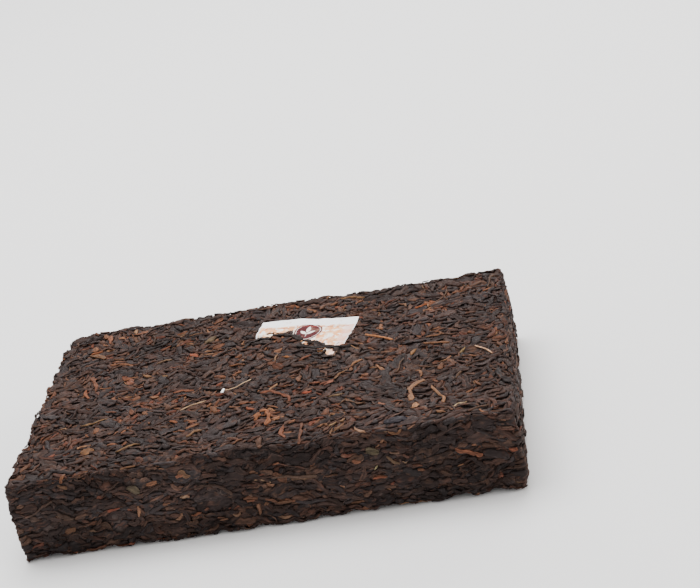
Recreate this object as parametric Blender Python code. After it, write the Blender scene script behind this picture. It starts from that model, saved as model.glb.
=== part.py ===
"""A brick of compressed dark tea with a paper ticket pressed into its top face.

Frame: +Z up, origin at the middle of the underside, +X along the brick's
length, -Y towards the long side that shows. Metres throughout.
"""

import math

import bpy
from mathutils import Matrix, Vector, noise

# ---- driving dimensions -------------------------------------------------
LENGTH = 0.1422  # along X, at mid height; the top face is about 141 mm
WIDTH = 0.0938  # along Y, at mid height; the top face is about 93 mm
HEIGHT = 0.0255  # along Z
CORNER_R = 0.0026  # upright corners, seen from above
CORNER_R_WORN = 0.0062  # the far left corner has crumbled more
EDGE_R = 0.0016  # pressed edges round the top
FOOT_R = 0.0012  # edges round the underside
CELL = 0.0040  # spacing of the grid that carries the unevenness
SIDE_SWELL = 0.00035  # slow in-and-out of the sides
SIDE_GRAIN = 0.00030  # leaf-sized unevenness of the sides
TOP_SWELL = 0.00022  # slow rise and fall of the top face
TOP_GRAIN = 0.00012  # leaf-sized unevenness of the top face
SIDE_BELLY = 0.00065  # how far the sides bulge at mid height

TICKET_W = 0.032  # along its own u, left to right
TICKET_H = 0.026  # along its own v, far edge to near edge
TICKET_T = 0.0003
TICKET_CENTRE = (0.0067, 0.0175)
TICKET_TURN = math.radians(-14.3)  # about Z
TICKET_FAR_DEPTH = 0.00060  # top of its far edge below the brick's top
TICKET_NEAR_DEPTH = 0.00160  # top of its near edge, which dips under the leaf
GAP = 0.0003  # between the ticket and the bed it lies in
TICKET_EDGE_CLEAR = 0.0004  # round the ticket's outline


def clear_scene():
    for obj in list(bpy.data.objects):
        bpy.data.objects.remove(obj)


def material(name, colour, roughness):
    mat = bpy.data.materials.new(name)
    mat.use_nodes = True
    shader = next(n for n in mat.node_tree.nodes if n.type == "BSDF_PRINCIPLED")
    shader.inputs["Base Color"].default_value = (*colour, 1.0)
    shader.inputs["Roughness"].default_value = roughness
    shader.inputs["Metallic"].default_value = 0.0
    return mat


def stations(half, fillet):
    """Grid lines from -half to +half: two across each rounded edge, and even cells between."""
    inner = half - fillet
    cells = max(2, round(2 * inner / CELL))
    middle = [-inner + 2 * inner * i / cells for i in range(cells + 1)]
    return [-half, -half + fillet / 2, *middle, half - fillet / 2, half]


def levels():
    """Grid lines from the underside to the top."""
    low, high = FOOT_R, HEIGHT - EDGE_R
    cells = max(2, round((high - low) / CELL))
    middle = [low + (high - low) * i / cells for i in range(cells + 1)]
    return [0.0, FOOT_R / 2, *middle, HEIGHT - EDGE_R / 2, HEIGHT]


def corner_radius(x, y):
    return CORNER_R_WORN if x < 0 < y else CORNER_R


def plan(x, y):
    """(point moved into the rounded outline, outward normal, distance in from the outline)."""
    a, b, r = LENGTH / 2, WIDTH / 2, corner_radius(x, y)
    sx, sy = math.copysign(1, x), math.copysign(1, y)
    dx, dy = abs(x) - (a - r), abs(y) - (b - r)
    if dx > 0 and dy > 0:
        reach, far = math.hypot(dx, dy), max(dx, dy)
        dx, dy = dx * far / reach, dy * far / reach
        return (
            Vector((sx * (a - r + dx), sy * (b - r + dy))),
            Vector((sx * dx, sy * dy)).normalized(),
            r - math.hypot(dx, dy),
        )
    if a - abs(x) < b - abs(y):
        return Vector((x, y)), Vector((sx, 0)), a - abs(x)
    return Vector((x, y)), Vector((0, sy)), b - abs(y)


def rounded(x, y, z):
    """A point of the square-edged grid, moved onto the block with rounded corners and edges."""
    at, out, inward = plan(x, y)
    for fillet, depth, sign, level in (
        (EDGE_R, HEIGHT - z, 1, HEIGHT),
        (FOOT_R, z, -1, 0.0),
    ):
        if depth < fillet and inward < fillet:
            # The way over the edge, 0 where the flat face ends and 2 where the wall begins
            way = (1 - inward / fillet) + depth / fillet
            turn = way / 2 * math.pi / 2
            at = at + out * (inward - fillet * (1 - math.sin(turn)))
            z = level - sign * fillet * (1 - math.cos(turn))
            break
    return at, out, inward, z


def uneven(x, y, z):
    """The finished surface point: rounded, then made uneven the way pressed leaf is."""
    at, out, inward, height = rounded(x, y, z)
    wall = max(0.0, 1 - inward / 0.004)  # 1 on the sides, fading over the faces
    here = Vector((at.x, at.y, height))
    slow = noise.noise(here * 62 + Vector((3.1, 8.4, 1.7)))
    grain = noise.noise(here * 240 + Vector((9.2, 2.6, 5.5)))
    belly = math.sin(math.pi * min(1, max(0, height / HEIGHT))) * SIDE_BELLY
    push = (slow * 2 * SIDE_SWELL + grain * 2 * SIDE_GRAIN + belly) * wall
    crumbled = max(0.0, 1 - height / 0.004) * wall  # bits lost round the foot
    push -= crumbled * 0.0006 * (0.5 + noise.noise(here * 150 + Vector((4, 4, 4))))
    at = at + out * push
    lift = 0.0
    if height > HEIGHT / 2:
        over = min(1.0, max(0.0, (height - (HEIGHT - EDGE_R)) / EDGE_R))
        lift = over * (
            noise.noise(here * 48 + Vector((1.5, 6.1, 0))) * 2 * TOP_SWELL
            + noise.noise(here * 210 + Vector((7.7, 0.4, 0))) * 2 * TOP_GRAIN
        )
    return Vector((at.x, at.y, height + lift))


def build_brick():
    xs, ys, zs = stations(LENGTH / 2, EDGE_R), stations(WIDTH / 2, EDGE_R), levels()
    last = (len(xs) - 1, len(ys) - 1, len(zs) - 1)
    index, points, faces = {}, [], []

    def corner(i, j, k):
        if (i, j, k) not in index:
            index[i, j, k] = len(points)
            points.append(uneven(xs[i], ys[j], zs[k]))
        return index[i, j, k]

    def side(fixed, value, flip):
        """One face of the block as quads: fixed is the axis that stays at value."""
        u, v = [axis for axis in range(3) if axis != fixed]
        for p in range(last[u]):
            for q in range(last[v]):
                ring = []
                for du, dv in ((0, 0), (1, 0), (1, 1), (0, 1)):
                    key = [0, 0, 0]
                    key[fixed], key[u], key[v] = value, p + du, q + dv
                    ring.append(corner(*key))
                faces.append(ring[::-1] if flip else ring)

    side(0, 0, True)
    side(0, last[0], False)
    side(1, 0, False)
    side(1, last[1], True)
    side(2, 0, True)
    side(2, last[2], False)

    # The unevenness shifts the outline a little, so it is brought back to the stated size.
    low = Vector([min(p[i] for p in points) for i in range(3)])
    high = Vector([max(p[i] for p in points) for i in range(3)])
    want_low = Vector((-LENGTH / 2, -WIDTH / 2, 0))
    want = Vector((LENGTH, WIDTH, HEIGHT))
    points = [
        Vector(
            [want_low[i] + (p[i] - low[i]) * want[i] / (high[i] - low[i]) for i in range(3)]
        )
        for p in points
    ]
    mesh = bpy.data.meshes.new("tea_brick")
    mesh.from_pydata([tuple(p) for p in points], [], faces)
    mesh.update()
    brick = bpy.data.objects.new("tea_brick", mesh)
    bpy.context.scene.collection.objects.link(brick)
    brick.data.materials.append(material("pressed_leaf", (0.030, 0.020, 0.016), 0.72))
    return brick


def ticket_frame():
    """The ticket's own frame: origin at the middle of its upper face, u right, v away from its near edge, dipping towards the near edge."""
    dip = math.atan2(TICKET_NEAR_DEPTH - TICKET_FAR_DEPTH, TICKET_H)
    middle = HEIGHT - (TICKET_NEAR_DEPTH + TICKET_FAR_DEPTH) / 2
    return (
        Matrix.Translation((*TICKET_CENTRE, middle))
        @ Matrix.Rotation(TICKET_TURN, 4, "Z")
        @ Matrix.Rotation(dip, 4, "X")
    )


def slab(name, width, depth, low, high):
    """A flat slab in the ticket's frame, from low to high along its own normal."""
    w, d = width / 2, depth / 2
    corners = [(-w, -d), (w, -d), (w, d), (-w, d)]
    points = [(x, y, low) for x, y in corners] + [(x, y, high) for x, y in corners]
    faces = [(3, 2, 1, 0), (4, 5, 6, 7)]
    faces += [(i, (i + 1) % 4, (i + 1) % 4 + 4, i + 4) for i in range(4)]
    mesh = bpy.data.meshes.new(name)
    mesh.from_pydata(points, [], faces)
    mesh.update()
    obj = bpy.data.objects.new(name, mesh)
    obj.matrix_world = ticket_frame()
    bpy.context.scene.collection.objects.link(obj)
    return obj


def main():
    clear_scene()
    brick = build_brick()

    bed = slab(
        "ticket_bed",
        TICKET_W + 2 * TICKET_EDGE_CLEAR,
        TICKET_H + 2 * TICKET_EDGE_CLEAR,
        -TICKET_T - GAP,
        0.004,
    )
    bed.hide_render = True
    bed.display_type = "WIRE"
    cut = brick.modifiers.new("bed", "BOOLEAN")
    cut.operation = "DIFFERENCE"
    cut.solver = "EXACT"
    cut.object = bed

    ticket = slab("paper_ticket", TICKET_W, TICKET_H, -TICKET_T, 0.0)
    ticket.data.materials.append(material("ticket_paper", (0.80, 0.70, 0.62), 0.85))


main()
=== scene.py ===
"""Looks for a brick of pressed dark tea with a paper ticket in its top face.

The brick is made of the leaf itself: thousands of separate strands, buds, stems and flakes, laid
in a mould and pressed, over a smaller dark core. Lengths are in millimetres until a mesh is made.
"""

import math

import bpy
import numpy as np
from mathutils import Matrix, Vector


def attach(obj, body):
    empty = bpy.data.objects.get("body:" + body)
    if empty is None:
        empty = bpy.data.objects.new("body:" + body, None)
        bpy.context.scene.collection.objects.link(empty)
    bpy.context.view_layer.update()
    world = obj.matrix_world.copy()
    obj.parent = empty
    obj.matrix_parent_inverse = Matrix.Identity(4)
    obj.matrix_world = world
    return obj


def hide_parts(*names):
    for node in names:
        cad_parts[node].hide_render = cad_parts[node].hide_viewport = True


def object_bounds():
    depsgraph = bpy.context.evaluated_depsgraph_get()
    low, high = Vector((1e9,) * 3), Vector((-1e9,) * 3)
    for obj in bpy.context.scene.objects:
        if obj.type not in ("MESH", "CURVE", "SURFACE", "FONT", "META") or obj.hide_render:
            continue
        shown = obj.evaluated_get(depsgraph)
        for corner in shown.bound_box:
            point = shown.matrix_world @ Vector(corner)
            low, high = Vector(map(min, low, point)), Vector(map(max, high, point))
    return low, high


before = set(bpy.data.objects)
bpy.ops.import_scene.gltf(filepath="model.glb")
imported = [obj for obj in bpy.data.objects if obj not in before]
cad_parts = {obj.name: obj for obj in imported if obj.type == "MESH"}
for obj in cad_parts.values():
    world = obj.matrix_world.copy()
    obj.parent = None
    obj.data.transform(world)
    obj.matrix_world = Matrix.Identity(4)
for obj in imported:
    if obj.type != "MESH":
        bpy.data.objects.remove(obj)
CAD_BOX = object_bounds()

# ---- the block ----------------------------------------------------------
HALF_X, HALF_Y = 70.35, 46.3  # half the top face's length and width
TOP_Z = 24.95  # the level that the press left, before its slow rise and fall
SIZE_HALF = np.array([CAD_BOX[1][0], CAD_BOX[1][1]]) * 1000 - 0.04  # half the whole brick's length and width, less a hair
# upright corners: front left, front right, back right, and back left, which has crumbled more
CORNERS = (1.7, 1.8, 1.7, 5.2)
EDGE, FOOT = 1.05, 0.8  # rounding round the top and round the underside
CELL = 0.27  # of the height fields that the leaf is laid on
DEEP = 1.7  # how far below the pressed level a strand may lie

rng = np.random.default_rng(41)


def linear(r, g, b):
    """An sRGB colour of 0 to 255 as linear light."""
    c = np.array([r, g, b]) / 255
    return np.where(c <= 0.04045, c / 12.92, ((c + 0.055) / 1.055) ** 2.4)


# ---- slow noise ---------------------------------------------------------
class Waves:
    """Smooth noise in space, about -1 to 1, with lumps of roughly the given size."""

    def __init__(self, seed, size, count=9):
        r = np.random.default_rng(seed)
        way = r.normal(size=(count, 3))
        way /= np.linalg.norm(way, axis=1)[:, None]
        self.k = way * (math.pi / size * r.uniform(0.6, 1.4, count))[:, None]
        self.phase = r.uniform(0, 2 * math.pi, count)
        self.gain = 1.6 / math.sqrt(count)

    def __call__(self, p):
        out = np.zeros(len(p))
        for k, phase in zip(self.k, self.phase):
            out += np.sin(p @ k + phase)
        return out * self.gain / 1.6


TOP_SWELL, SIDE_SWELL_X, SIDE_SWELL_Y = Waves(5, 17), Waves(6, 13), Waves(7, 15)
TOP_RIPPLE, SIDE_RIPPLE_X, SIDE_RIPPLE_Y = Waves(10, 4.5), Waves(8, 2.8), Waves(9, 2.9)
FOOT_CRUMBLE, FOOT_NICKS = Waves(12, 4.6), Waves(13, 1.7)
# rises and dips of the pressed face: x, y, reach along x and y, height
TOP_BUMPS = [
    (-8, 45, 8, 5, 0.55),
    (12, 45, 4, 5, -0.35),
    (67, 43, 4.0, 5, 0.60),
    (-52, 45, 4, 4, 0.30),
    (-30, 45, 4, 4, -0.25),
    (38, 45, 5, 4, 0.30),
    (-40, -44, 12, 6, -0.35),
    (-6, -44, 11, 6, 0.35),
    (-66, -10, 5, 9, 0.25),
]


def warp(p):
    """The plain block's points moved to where the real, slightly barrelled and wavy block has them."""
    x, y, z = p[:, 0], p[:, 1], p[:, 2]
    up = np.clip(z / TOP_Z, 0, 1)
    belly = np.sin(math.pi * up)
    over_x, over_y = np.tanh(x / 26) * np.abs(x) / HALF_X, np.tanh(y / 18) * np.abs(y) / HALF_Y
    nx = x + over_x * (0.50 * belly + 0.22 * SIDE_SWELL_X(p) + 0.52 * SIDE_RIPPLE_X(p) - 0.12)
    ny = y + over_y * (0.40 * belly + 0.22 * SIDE_SWELL_Y(p) + 0.48 * SIDE_RIPPLE_Y(p) - 0.12)
    rim = np.clip(1 - np.minimum(HALF_X - np.abs(x), HALF_Y - np.abs(y)) / 5, 0, 1)
    rise = 0.16 * TOP_SWELL(p * (1, 1, 0)) + (0.12 + 0.26 * rim) * TOP_RIPPLE(p * (1, 1, 0)) - 0.08
    for bx, by, wx, wy, lift in TOP_BUMPS:
        rise = rise + lift * np.exp(-(((x - bx) / wx) ** 2) - ((y - by) / wy) ** 2)
    # bits have broken away along the foot, though not at the front's two corners
    in_from = np.minimum(HALF_X - np.abs(x), HALF_Y - np.abs(y))
    foot = np.clip(1 - in_from / 4.5, 0, 1) * np.clip(1 - z / 5, 0, 1)
    kept = 1 - np.exp(-((np.abs(x) - HALF_X) ** 2 + (y + HALF_Y) ** 2) / 30)
    crumble = 0.35 + 0.85 * FOOT_CRUMBLE(p * (1, 1, 0)) + 0.45 * FOOT_NICKS(p * (1, 1, 0))
    lift = 1.35 * np.clip(crumble, 0, 1.1) * foot * kept
    # the front left corner keeps its point, and reaches a little further than the rest, most of all under its rim
    past_x, past_y = np.maximum(x + HALF_X, 0), np.maximum(y + HALF_Y, 0)
    point = np.exp(-((past_x / 3.2) ** 2) - (past_y / 3.2) ** 2)
    swell = np.interp(up, [0, 0.2, 0.35, 0.55, 0.7, 0.85, 1], [0.6, 0.45, 0.45, 0.8, 1.05, 1.0, 0.25])
    nx, ny = nx - swell * np.exp(-((past_x / 3.2) ** 2) - (past_y / 5.5) ** 2), ny - (0.5 - 0.35 * up) * point
    lift = lift - 0.35 * point * (1 - up)
    return np.column_stack([nx, ny, z + up * rise + lift])


def settle(p):
    """Holds what stands out furthest within the outline, softly."""
    out = p.copy()
    for axis, start, give in ((0, 70.4, 0.68), (1, 46.2, 0.68), (2, 25.08, 0.38)):
        far = np.abs(p[:, axis])
        out[:, axis] = np.sign(p[:, axis]) * (np.minimum(far, start) + give * np.tanh(np.maximum(far - start, 0) / give))
    return out


# ---- from a flat chart to the block's surface ---------------------------
def corner_at(x, y):
    """The radius of the upright corner that a point is nearest to."""
    fl, fr, br, bl = CORNERS
    return np.where(x < 0, np.where(y < 0, fl, bl), np.where(y < 0, fr, br))


def over_edge(x, y, fillet):
    """How far points lie past the start of the rounded edge, and which way is outward."""
    rc = corner_at(x, y) - fillet
    qx, qy = np.abs(x) - (HALF_X - fillet - rc), np.abs(y) - (HALF_Y - fillet - rc)
    mx, my = np.maximum(qx, 0), np.maximum(qy, 0)
    reach = np.hypot(mx, my)
    sd = reach + np.minimum(np.maximum(qx, qy), 0) - rc
    safe = np.maximum(reach, 1e-9)
    nx = np.where(reach > 1e-9, mx / safe, (qx > qy) * 1.0) * np.sign(x)
    ny = np.where(reach > 1e-9, my / safe, (qx <= qy) * 1.0) * np.sign(y)
    return sd, nx, ny


def on_face(x, y, h, fillet):
    """Points of a face's chart, h above it, as (x, y, distance below the face)."""
    sd, nx, ny = over_edge(x, y, fillet)
    over = np.maximum(sd, 0)
    turn = np.minimum(over / fillet, math.pi / 2)
    r = np.maximum(fillet + h, 0.05)
    out = np.where(over > 0, r * np.sin(turn), 0)
    rise = np.where(over > 0, r * np.cos(turn) - fillet, h)
    down = np.maximum(over - fillet * math.pi / 2, 0)
    return x - nx * over + nx * out, y - ny * over + ny * out, rise - down


def place_top(u, v, h):
    x, y, rise = on_face(u, v, h, EDGE)
    return np.column_stack([x, y, TOP_Z + rise])


def place_under(u, v, h):
    x, y, rise = on_face(u, v, h, FOOT)
    return np.column_stack([x, y, -rise])


def outline():
    """The block's outline as (way round, x, y, outward x, outward y), from the front left corner along the front."""
    rows = []

    def line(x0, y0, x1, y1, nx, ny):
        for f in np.linspace(0, 1, 60)[:-1]:
            rows.append((x0 + (x1 - x0) * f, y0 + (y1 - y0) * f, nx, ny))

    def arc(cx, cy, r, start):
        for a in np.linspace(start, start + math.pi / 2, 24)[:-1]:
            rows.append((cx + r * math.cos(a), cy + r * math.sin(a), math.cos(a), math.sin(a)))

    a, b = HALF_X, HALF_Y
    fl, fr, br, bl = CORNERS
    line(fl - a, -b, a - fr, -b, 0, -1)
    arc(a - fr, fr - b, fr, -math.pi / 2)
    line(a, fr - b, a, b - br, 1, 0)
    arc(a - br, b - br, br, 0)
    line(a - br, b, bl - a, b, 0, 1)
    arc(bl - a, b - bl, bl, math.pi / 2)
    line(-a, b - bl, -a, fl - b, -1, 0)
    arc(fl - a, fl - b, fl, math.pi)
    rows.append((fl - a, -b, 0, -1))
    rows = np.array(rows)
    way = np.concatenate([[0], np.cumsum(np.hypot(*np.diff(rows[:, :2], axis=0).T))])
    return np.column_stack([way, rows])


OUTLINE = outline()
ROUND = OUTLINE[-1, 0]  # the whole way round
# where each upright corner is, as the way round
TURNS = [
    OUTLINE[np.hypot(OUTLINE[:, 1] - sx * HALF_X, OUTLINE[:, 2] - sy * HALF_Y).argmin(), 0]
    for sx, sy in ((-1, -1), (1, -1), (1, 1), (-1, 1))
]


def place_belt(u, v, h):
    """The chart of the sides: u is the way round and v the height, going on over both rounded edges."""
    u = np.mod(u, ROUND)
    ox, oy, nx, ny = (np.interp(u, OUTLINE[:, 0], OUTLINE[:, k]) for k in range(1, 5))
    size = np.maximum(np.hypot(nx, ny), 1e-9)
    nx, ny = nx / size, ny / size
    out, z = h.copy(), v.copy()
    for sign, start, fillet in ((1, TOP_Z - EDGE, EDGE), (-1, FOOT, FOOT)):
        over = sign * (v - start)
        turn = np.clip(over / fillet, 0, math.pi / 2)
        rest = np.maximum(over - fillet * math.pi / 2, 0)
        r = np.maximum(fillet + h, 0.05)
        out = np.where(over > 0, r * np.cos(turn) - fillet - rest, out)
        z = np.where(over > 0, start + sign * r * np.sin(turn), z)
    return np.column_stack([ox + nx * out, oy + ny * out, z])


class Chart:
    """A flat map of part of the surface, with the height of what has been laid on it so far."""

    def __init__(self, place, low, high, closed=False):
        self.place, self.low, self.closed = place, np.array(low, float), closed
        self.n = np.ceil((np.array(high, float) - self.low) / CELL).astype(int)
        self.top = np.full(self.n[0] * self.n[1], -9.0)  # the surface that shows
        self.crest = np.full(self.n[0] * self.n[1], -9.0)  # the ridge of the strand there
        self.strands = []

    def at(self, u, v):
        i = ((u - self.low[0]) / CELL).astype(int)
        j = np.clip(((v - self.low[1]) / CELL).astype(int), 0, self.n[1] - 1)
        i = np.mod(i, self.n[0]) if self.closed else np.clip(i, 0, self.n[0] - 1)
        return i * self.n[1] + j

    def centre(self, cell):
        i, j = divmod(int(cell), int(self.n[1]))
        return self.low[0] + (i + 0.5) * CELL, self.low[1] + (j + 0.5) * CELL


MARGIN = 5.0
top = Chart(place_top, (-HALF_X - MARGIN, -HALF_Y - MARGIN), (HALF_X + MARGIN, HALF_Y + MARGIN))
under = Chart(place_under, (-HALF_X - MARGIN, -HALF_Y - MARGIN), (HALF_X + MARGIN, HALF_Y + MARGIN))
belt = Chart(place_belt, (0, -4), (round(ROUND / CELL) * CELL, TOP_Z + 4), closed=True)

# ---- kinds of leaf ------------------------------------------------------
# sRGB colours of dry leaf
DARK = [(60, 45, 42), (54, 42, 41), (67, 49, 43), (52, 43, 43), (61, 49, 48), (71, 51, 45), (57, 49, 50)]
BROWN = [(88, 58, 46), (98, 65, 49), (82, 56, 46), (105, 72, 54), (94, 58, 44)]
RUSSET = [(124, 76, 51), (134, 84, 54), (114, 68, 46), (138, 91, 61), (120, 66, 46)]
TAN = [(160, 114, 78), (146, 103, 71), (170, 128, 91), (138, 98, 68), (156, 106, 70)]
STALK = [(66, 48, 40), (88, 64, 48), (104, 78, 58), (74, 54, 44), (56, 43, 38)]
PALE = [(214, 190, 160)]

# length and width in mm; thick: half thickness as a share of width; taper: how far the ends narrow,
# in widths; bend: how much it curves; rag: how uneven its two edges are; mates: the colour of its patches
KINDS = {
    "leaf_long": dict(length=(5, 11), width=(0.85, 1.6), thick=0.19, taper=1.1, bend=0.8, rag=0.34, colours=DARK, mates=BROWN),
    "leaf_mid": dict(length=(2.8, 6.5), width=(0.95, 2.1), thick=0.17, taper=0.8, bend=0.9, rag=0.42, colours=DARK, mates=BROWN),
    "leaf_short": dict(length=(1.6, 3.8), width=(0.9, 2.0), thick=0.17, taper=0.5, bend=0.7, rag=0.46, colours=DARK, mates=BROWN),
    "leaf_broad": dict(length=(4.0, 9.5), width=(2.1, 4.0), thick=0.08, taper=0.6, bend=0.4, rag=0.30, colours=DARK, mates=BROWN),
    "leaf_brown": dict(length=(1.8, 5.5), width=(0.8, 1.8), thick=0.18, taper=0.8, bend=1.0, rag=0.42, colours=BROWN, mates=DARK),
    "leaf_russet": dict(length=(1.4, 4.2), width=(0.6, 1.6), thick=0.18, taper=0.8, bend=1.0, rag=0.44, colours=RUSSET, mates=BROWN),
    "bud": dict(length=(2.4, 5.5), width=(0.7, 1.3), thick=0.28, taper=1.4, bend=1.7, rag=0.26, colours=TAN, mates=RUSSET),
    "stalk": dict(length=(4, 10), width=(0.5, 0.8), thick=0.42, taper=0.3, bend=0.4, rag=0.10, colours=STALK, mates=BROWN),
    "wisp": dict(length=(2.2, 5.5), width=(0.36, 0.7), thick=0.36, taper=1.8, bend=1.5, rag=0.25, colours=TAN + RUSSET + BROWN + BROWN, mates=DARK),
    "crumb": dict(length=(0.9, 2.3), width=(0.6, 1.4), thick=0.24, taper=0.4, bend=0.3, rag=0.44, colours=DARK + DARK + BROWN + RUSSET, mates=DARK),
    "hair": dict(length=(5, 9), width=(0.24, 0.30), thick=0.5, taper=0.6, bend=1.5, rag=0.1, colours=PALE, mates=TAN),
}
TONE = 0.475  # the leaf's colours as light on the page, against the sRGB values here
DARKER = {"leaf_long", "leaf_mid", "leaf_short", "leaf_broad"}  # the kinds that make up the dark ground
KERNEL = np.exp(-0.5 * (np.arange(-6, 7) / 2.4) ** 2)
KERNEL /= KERNEL.sum()


def ragged(m, step, size):
    """An uneven line of m samples, about -1 to 1, with a bend every size."""
    n = int(m * step / size) + 4
    return np.interp(np.arange(m) * step / size + rng.random(), np.arange(n), rng.normal(0, 0.6, n))


def lay(chart, kind, u0, v0, heading, off, need, path=None, colour=None, width=None, avoid=None, grip=1.0):
    """Lays one strand through (u0, v0), no higher than off below the pressed level, and under what is there already. Returns whether it shows enough to stay."""
    k = KINDS[kind]
    w = width or rng.uniform(*k["width"])
    if path is None:
        length = rng.uniform(*k["length"])
        m = max(8, int(length / 0.26))
        f = np.linspace(0, 1, m)
        step = length / (m - 1)
        a, b = rng.normal(0, 0.5 * k["bend"]), rng.normal(0, 0.34 * k["bend"])
        way = heading + a * (f - 0.5) * length / 6 + b * np.sin(2 * math.pi * (f * rng.uniform(0.6, 1.5) + rng.random()))
        crumple = 0.10 if kind in ("wisp", "stalk") else 0.30
        way = way + crumple * ragged(m, step, rng.uniform(0.9, 1.7))  # as it dried
        du, dv = np.cos(way), np.sin(way)
        u, v = np.cumsum(du) * step, np.cumsum(dv) * step
        at = int(rng.random() * m)
        u, v = u + u0 - u[at], v + v0 - v[at]
    else:
        pts = np.array(path, float)
        far = np.concatenate([[0], np.cumsum(np.hypot(*np.diff(pts, axis=0).T))])
        length = far[-1]
        m = max(8, int(length / 0.26))
        f = np.linspace(0, 1, m)
        step = length / (m - 1)
        u, v = np.interp(f * length, far, pts[:, 0]), np.interp(f * length, far, pts[:, 1])
        for _ in range(3):
            u[1:-1], v[1:-1] = (u[:-2] + 2 * u[1:-1] + u[2:]) / 4, (v[:-2] + 2 * v[1:-1] + v[2:]) / 4
        du, dv = np.gradient(u), np.gradient(v)
        size = np.hypot(du, dv)
        du, dv = du / size, dv / size
        u, v = u - dv * 0.12 * ragged(m, step, 1.2), v + du * 0.12 * ragged(m, step, 1.2)
    if chart.closed:
        if v.min() < -0.5 or v.max() > TOP_Z + 0.5:
            return False
        for turn in TURNS if path is None else ():  # few strands bend round an upright corner
            past = np.mod(u - turn + ROUND / 2, ROUND) - ROUND / 2
            if past.min() < -1.8 and past.max() > 1.8 and rng.random() < 0.5:
                return False
    elif path is None:
        past = max(np.abs(u).max() - HALF_X, np.abs(v).max() - HALF_Y)
        if past > rng.choice([0.0, 0.5, 1.2]):
            return False
    if avoid is not None and avoid(u, v):
        return False

    ends = np.minimum(f, 1 - f) * length  # the way to the nearer end
    blunt = rng.uniform(0.25, 0.95, 2) if k["taper"] < 1.4 else rng.uniform(0.12, 0.4, 2)
    tip = np.where(f < 0.5, blunt[0], blunt[1])
    fade = np.clip(ends / (k["taper"] * rng.uniform(0.7, 1.9) * w), 0, 1)
    env = tip + (1 - tip) * np.sin(fade * math.pi / 2)
    left = w / 2 * env * np.clip(1 + k["rag"] * ragged(m, step, 0.95) * 1.6, 0.4, 1.7)
    right = w / 2 * env * np.clip(1 + k["rag"] * ragged(m, step, 0.95) * 1.6, 0.4, 1.7)
    half = (left + right) / 2
    thick = np.clip(w * k["thick"], 0.14, 0.36) * (0.55 + 0.45 * env)
    lean = rng.normal(0, 0.16)  # how it is tipped about its own length

    # how high it may lie: under the press, and under each strand that it meets
    lu, lv = -dv, du
    drop, side = (0.22 * grip, 0.15 * grip) if chart.closed else (0.17 * grip, 0.12 * grip)
    crest = chart.crest
    limit = np.full(m, 0.0)
    for q, d in ((0, drop), (0.6, side), (-0.6, side)):
        c = crest[chart.at(u + lu * half * q, v + lv * half * q)]
        limit = np.minimum(limit, np.where(c > -8, c - d, 0.0))
    dip = rng.uniform(0, 0.45, 2) * (rng.random(2) < 0.7)
    dips = np.where(f < 0.5, dip[0], dip[1]) * np.clip(1 - ends / 1.8, 0, 1) ** 2
    limit = np.minimum(limit, -off - dips - 0.07 * np.abs(ragged(m, step, 1.3)))
    low = limit.copy()
    low[1:] = np.minimum(low[1:], limit[:-1])
    low[:-1] = np.minimum(low[:-1], limit[1:])
    pad = np.concatenate([np.full(6, low[0]), low, np.full(6, low[-1])])
    z = np.convolve(pad, KERNEL, "valid")
    z = np.maximum(np.minimum(z, limit + 0.08), -DEEP)

    # what of it shows
    across = np.linspace(-0.92, 0.92, max(3, int(w / 0.22) | 1))[:, None]
    reach = np.where(across < 0, left, right) * across
    cells = chart.at((u + lu * reach).ravel(), (v + lv * reach).ravel())
    surface = (z - thick * np.abs(across) ** 3 + lean * reach - abs(lean) * half).ravel()
    shows = surface > chart.top[cells] + 0.03
    share = shows.mean()
    area = share * length * w
    if share < need[0] or area < need[1]:
        return False
    chart.top[cells[shows]] = surface[shows]
    ridge = np.broadcast_to(z - abs(lean) * half, (len(across), m)).ravel()
    chart.crest[cells[shows]] = ridge[shows]

    # hidden ends are left off, except for a little that keeps them under their cover
    seen = np.flatnonzero(shows.reshape(len(across), m).any(0))
    pad_n = int(0.7 / step) + 1
    first, last = max(0, seen[0] - pad_n), min(m - 1, seen[-1] + pad_n)
    if last - first < 3:
        return False
    cut = slice(first, last + 1)
    chart.strands.append(
        dict(
            kind=kind,
            u=u[cut],
            v=v[cut],
            z=z[cut],
            left=left[cut],
            right=right[cut],
            thick=thick[cut],
            width=w,
            lean=lean,
            length=step * (last - first),
            colour=colour,
        )
    )
    return True


# ---- what goes where ----------------------------------------------------
MIX_TOP = dict(leaf_long=0.12, leaf_mid=0.20, leaf_short=0.17, leaf_broad=0.15, leaf_brown=0.19, leaf_russet=0.095, bud=0.02, stalk=0.02, wisp=0.055)
MIX_BELT = dict(leaf_long=0.22, leaf_mid=0.24, leaf_short=0.17, leaf_broad=0.15, leaf_brown=0.145, leaf_russet=0.032, bud=0.004, stalk=0.014, wisp=0.02)
MIX_GAPS = dict(crumb=0.55, leaf_short=0.25, wisp=0.1, leaf_brown=0.1)


CLUMPS = Waves(61, 8)
LIGHTER = {"leaf_brown", "leaf_russet", "bud", "wisp"}  # the kinds that keep together in places


def pick(mix, u, v):
    """A kind of leaf for a place, with the lighter ones in clumps."""
    more = math.exp(1.5 * CLUMPS(np.array([[u, v, 0.0]]))[0])
    share = [s * (more if kind in LIGHTER else 1) for kind, s in mix.items()]
    r = rng.random() * sum(share)
    for kind, s in zip(mix, share):
        r -= s
        if r < 0:
            return kind
    return "leaf_mid"


GRAIN_TOP, GRAIN_UNDER, GRAIN_BELT = Waves(21, 16), Waves(22, 16), Waves(23, 11)


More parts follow.
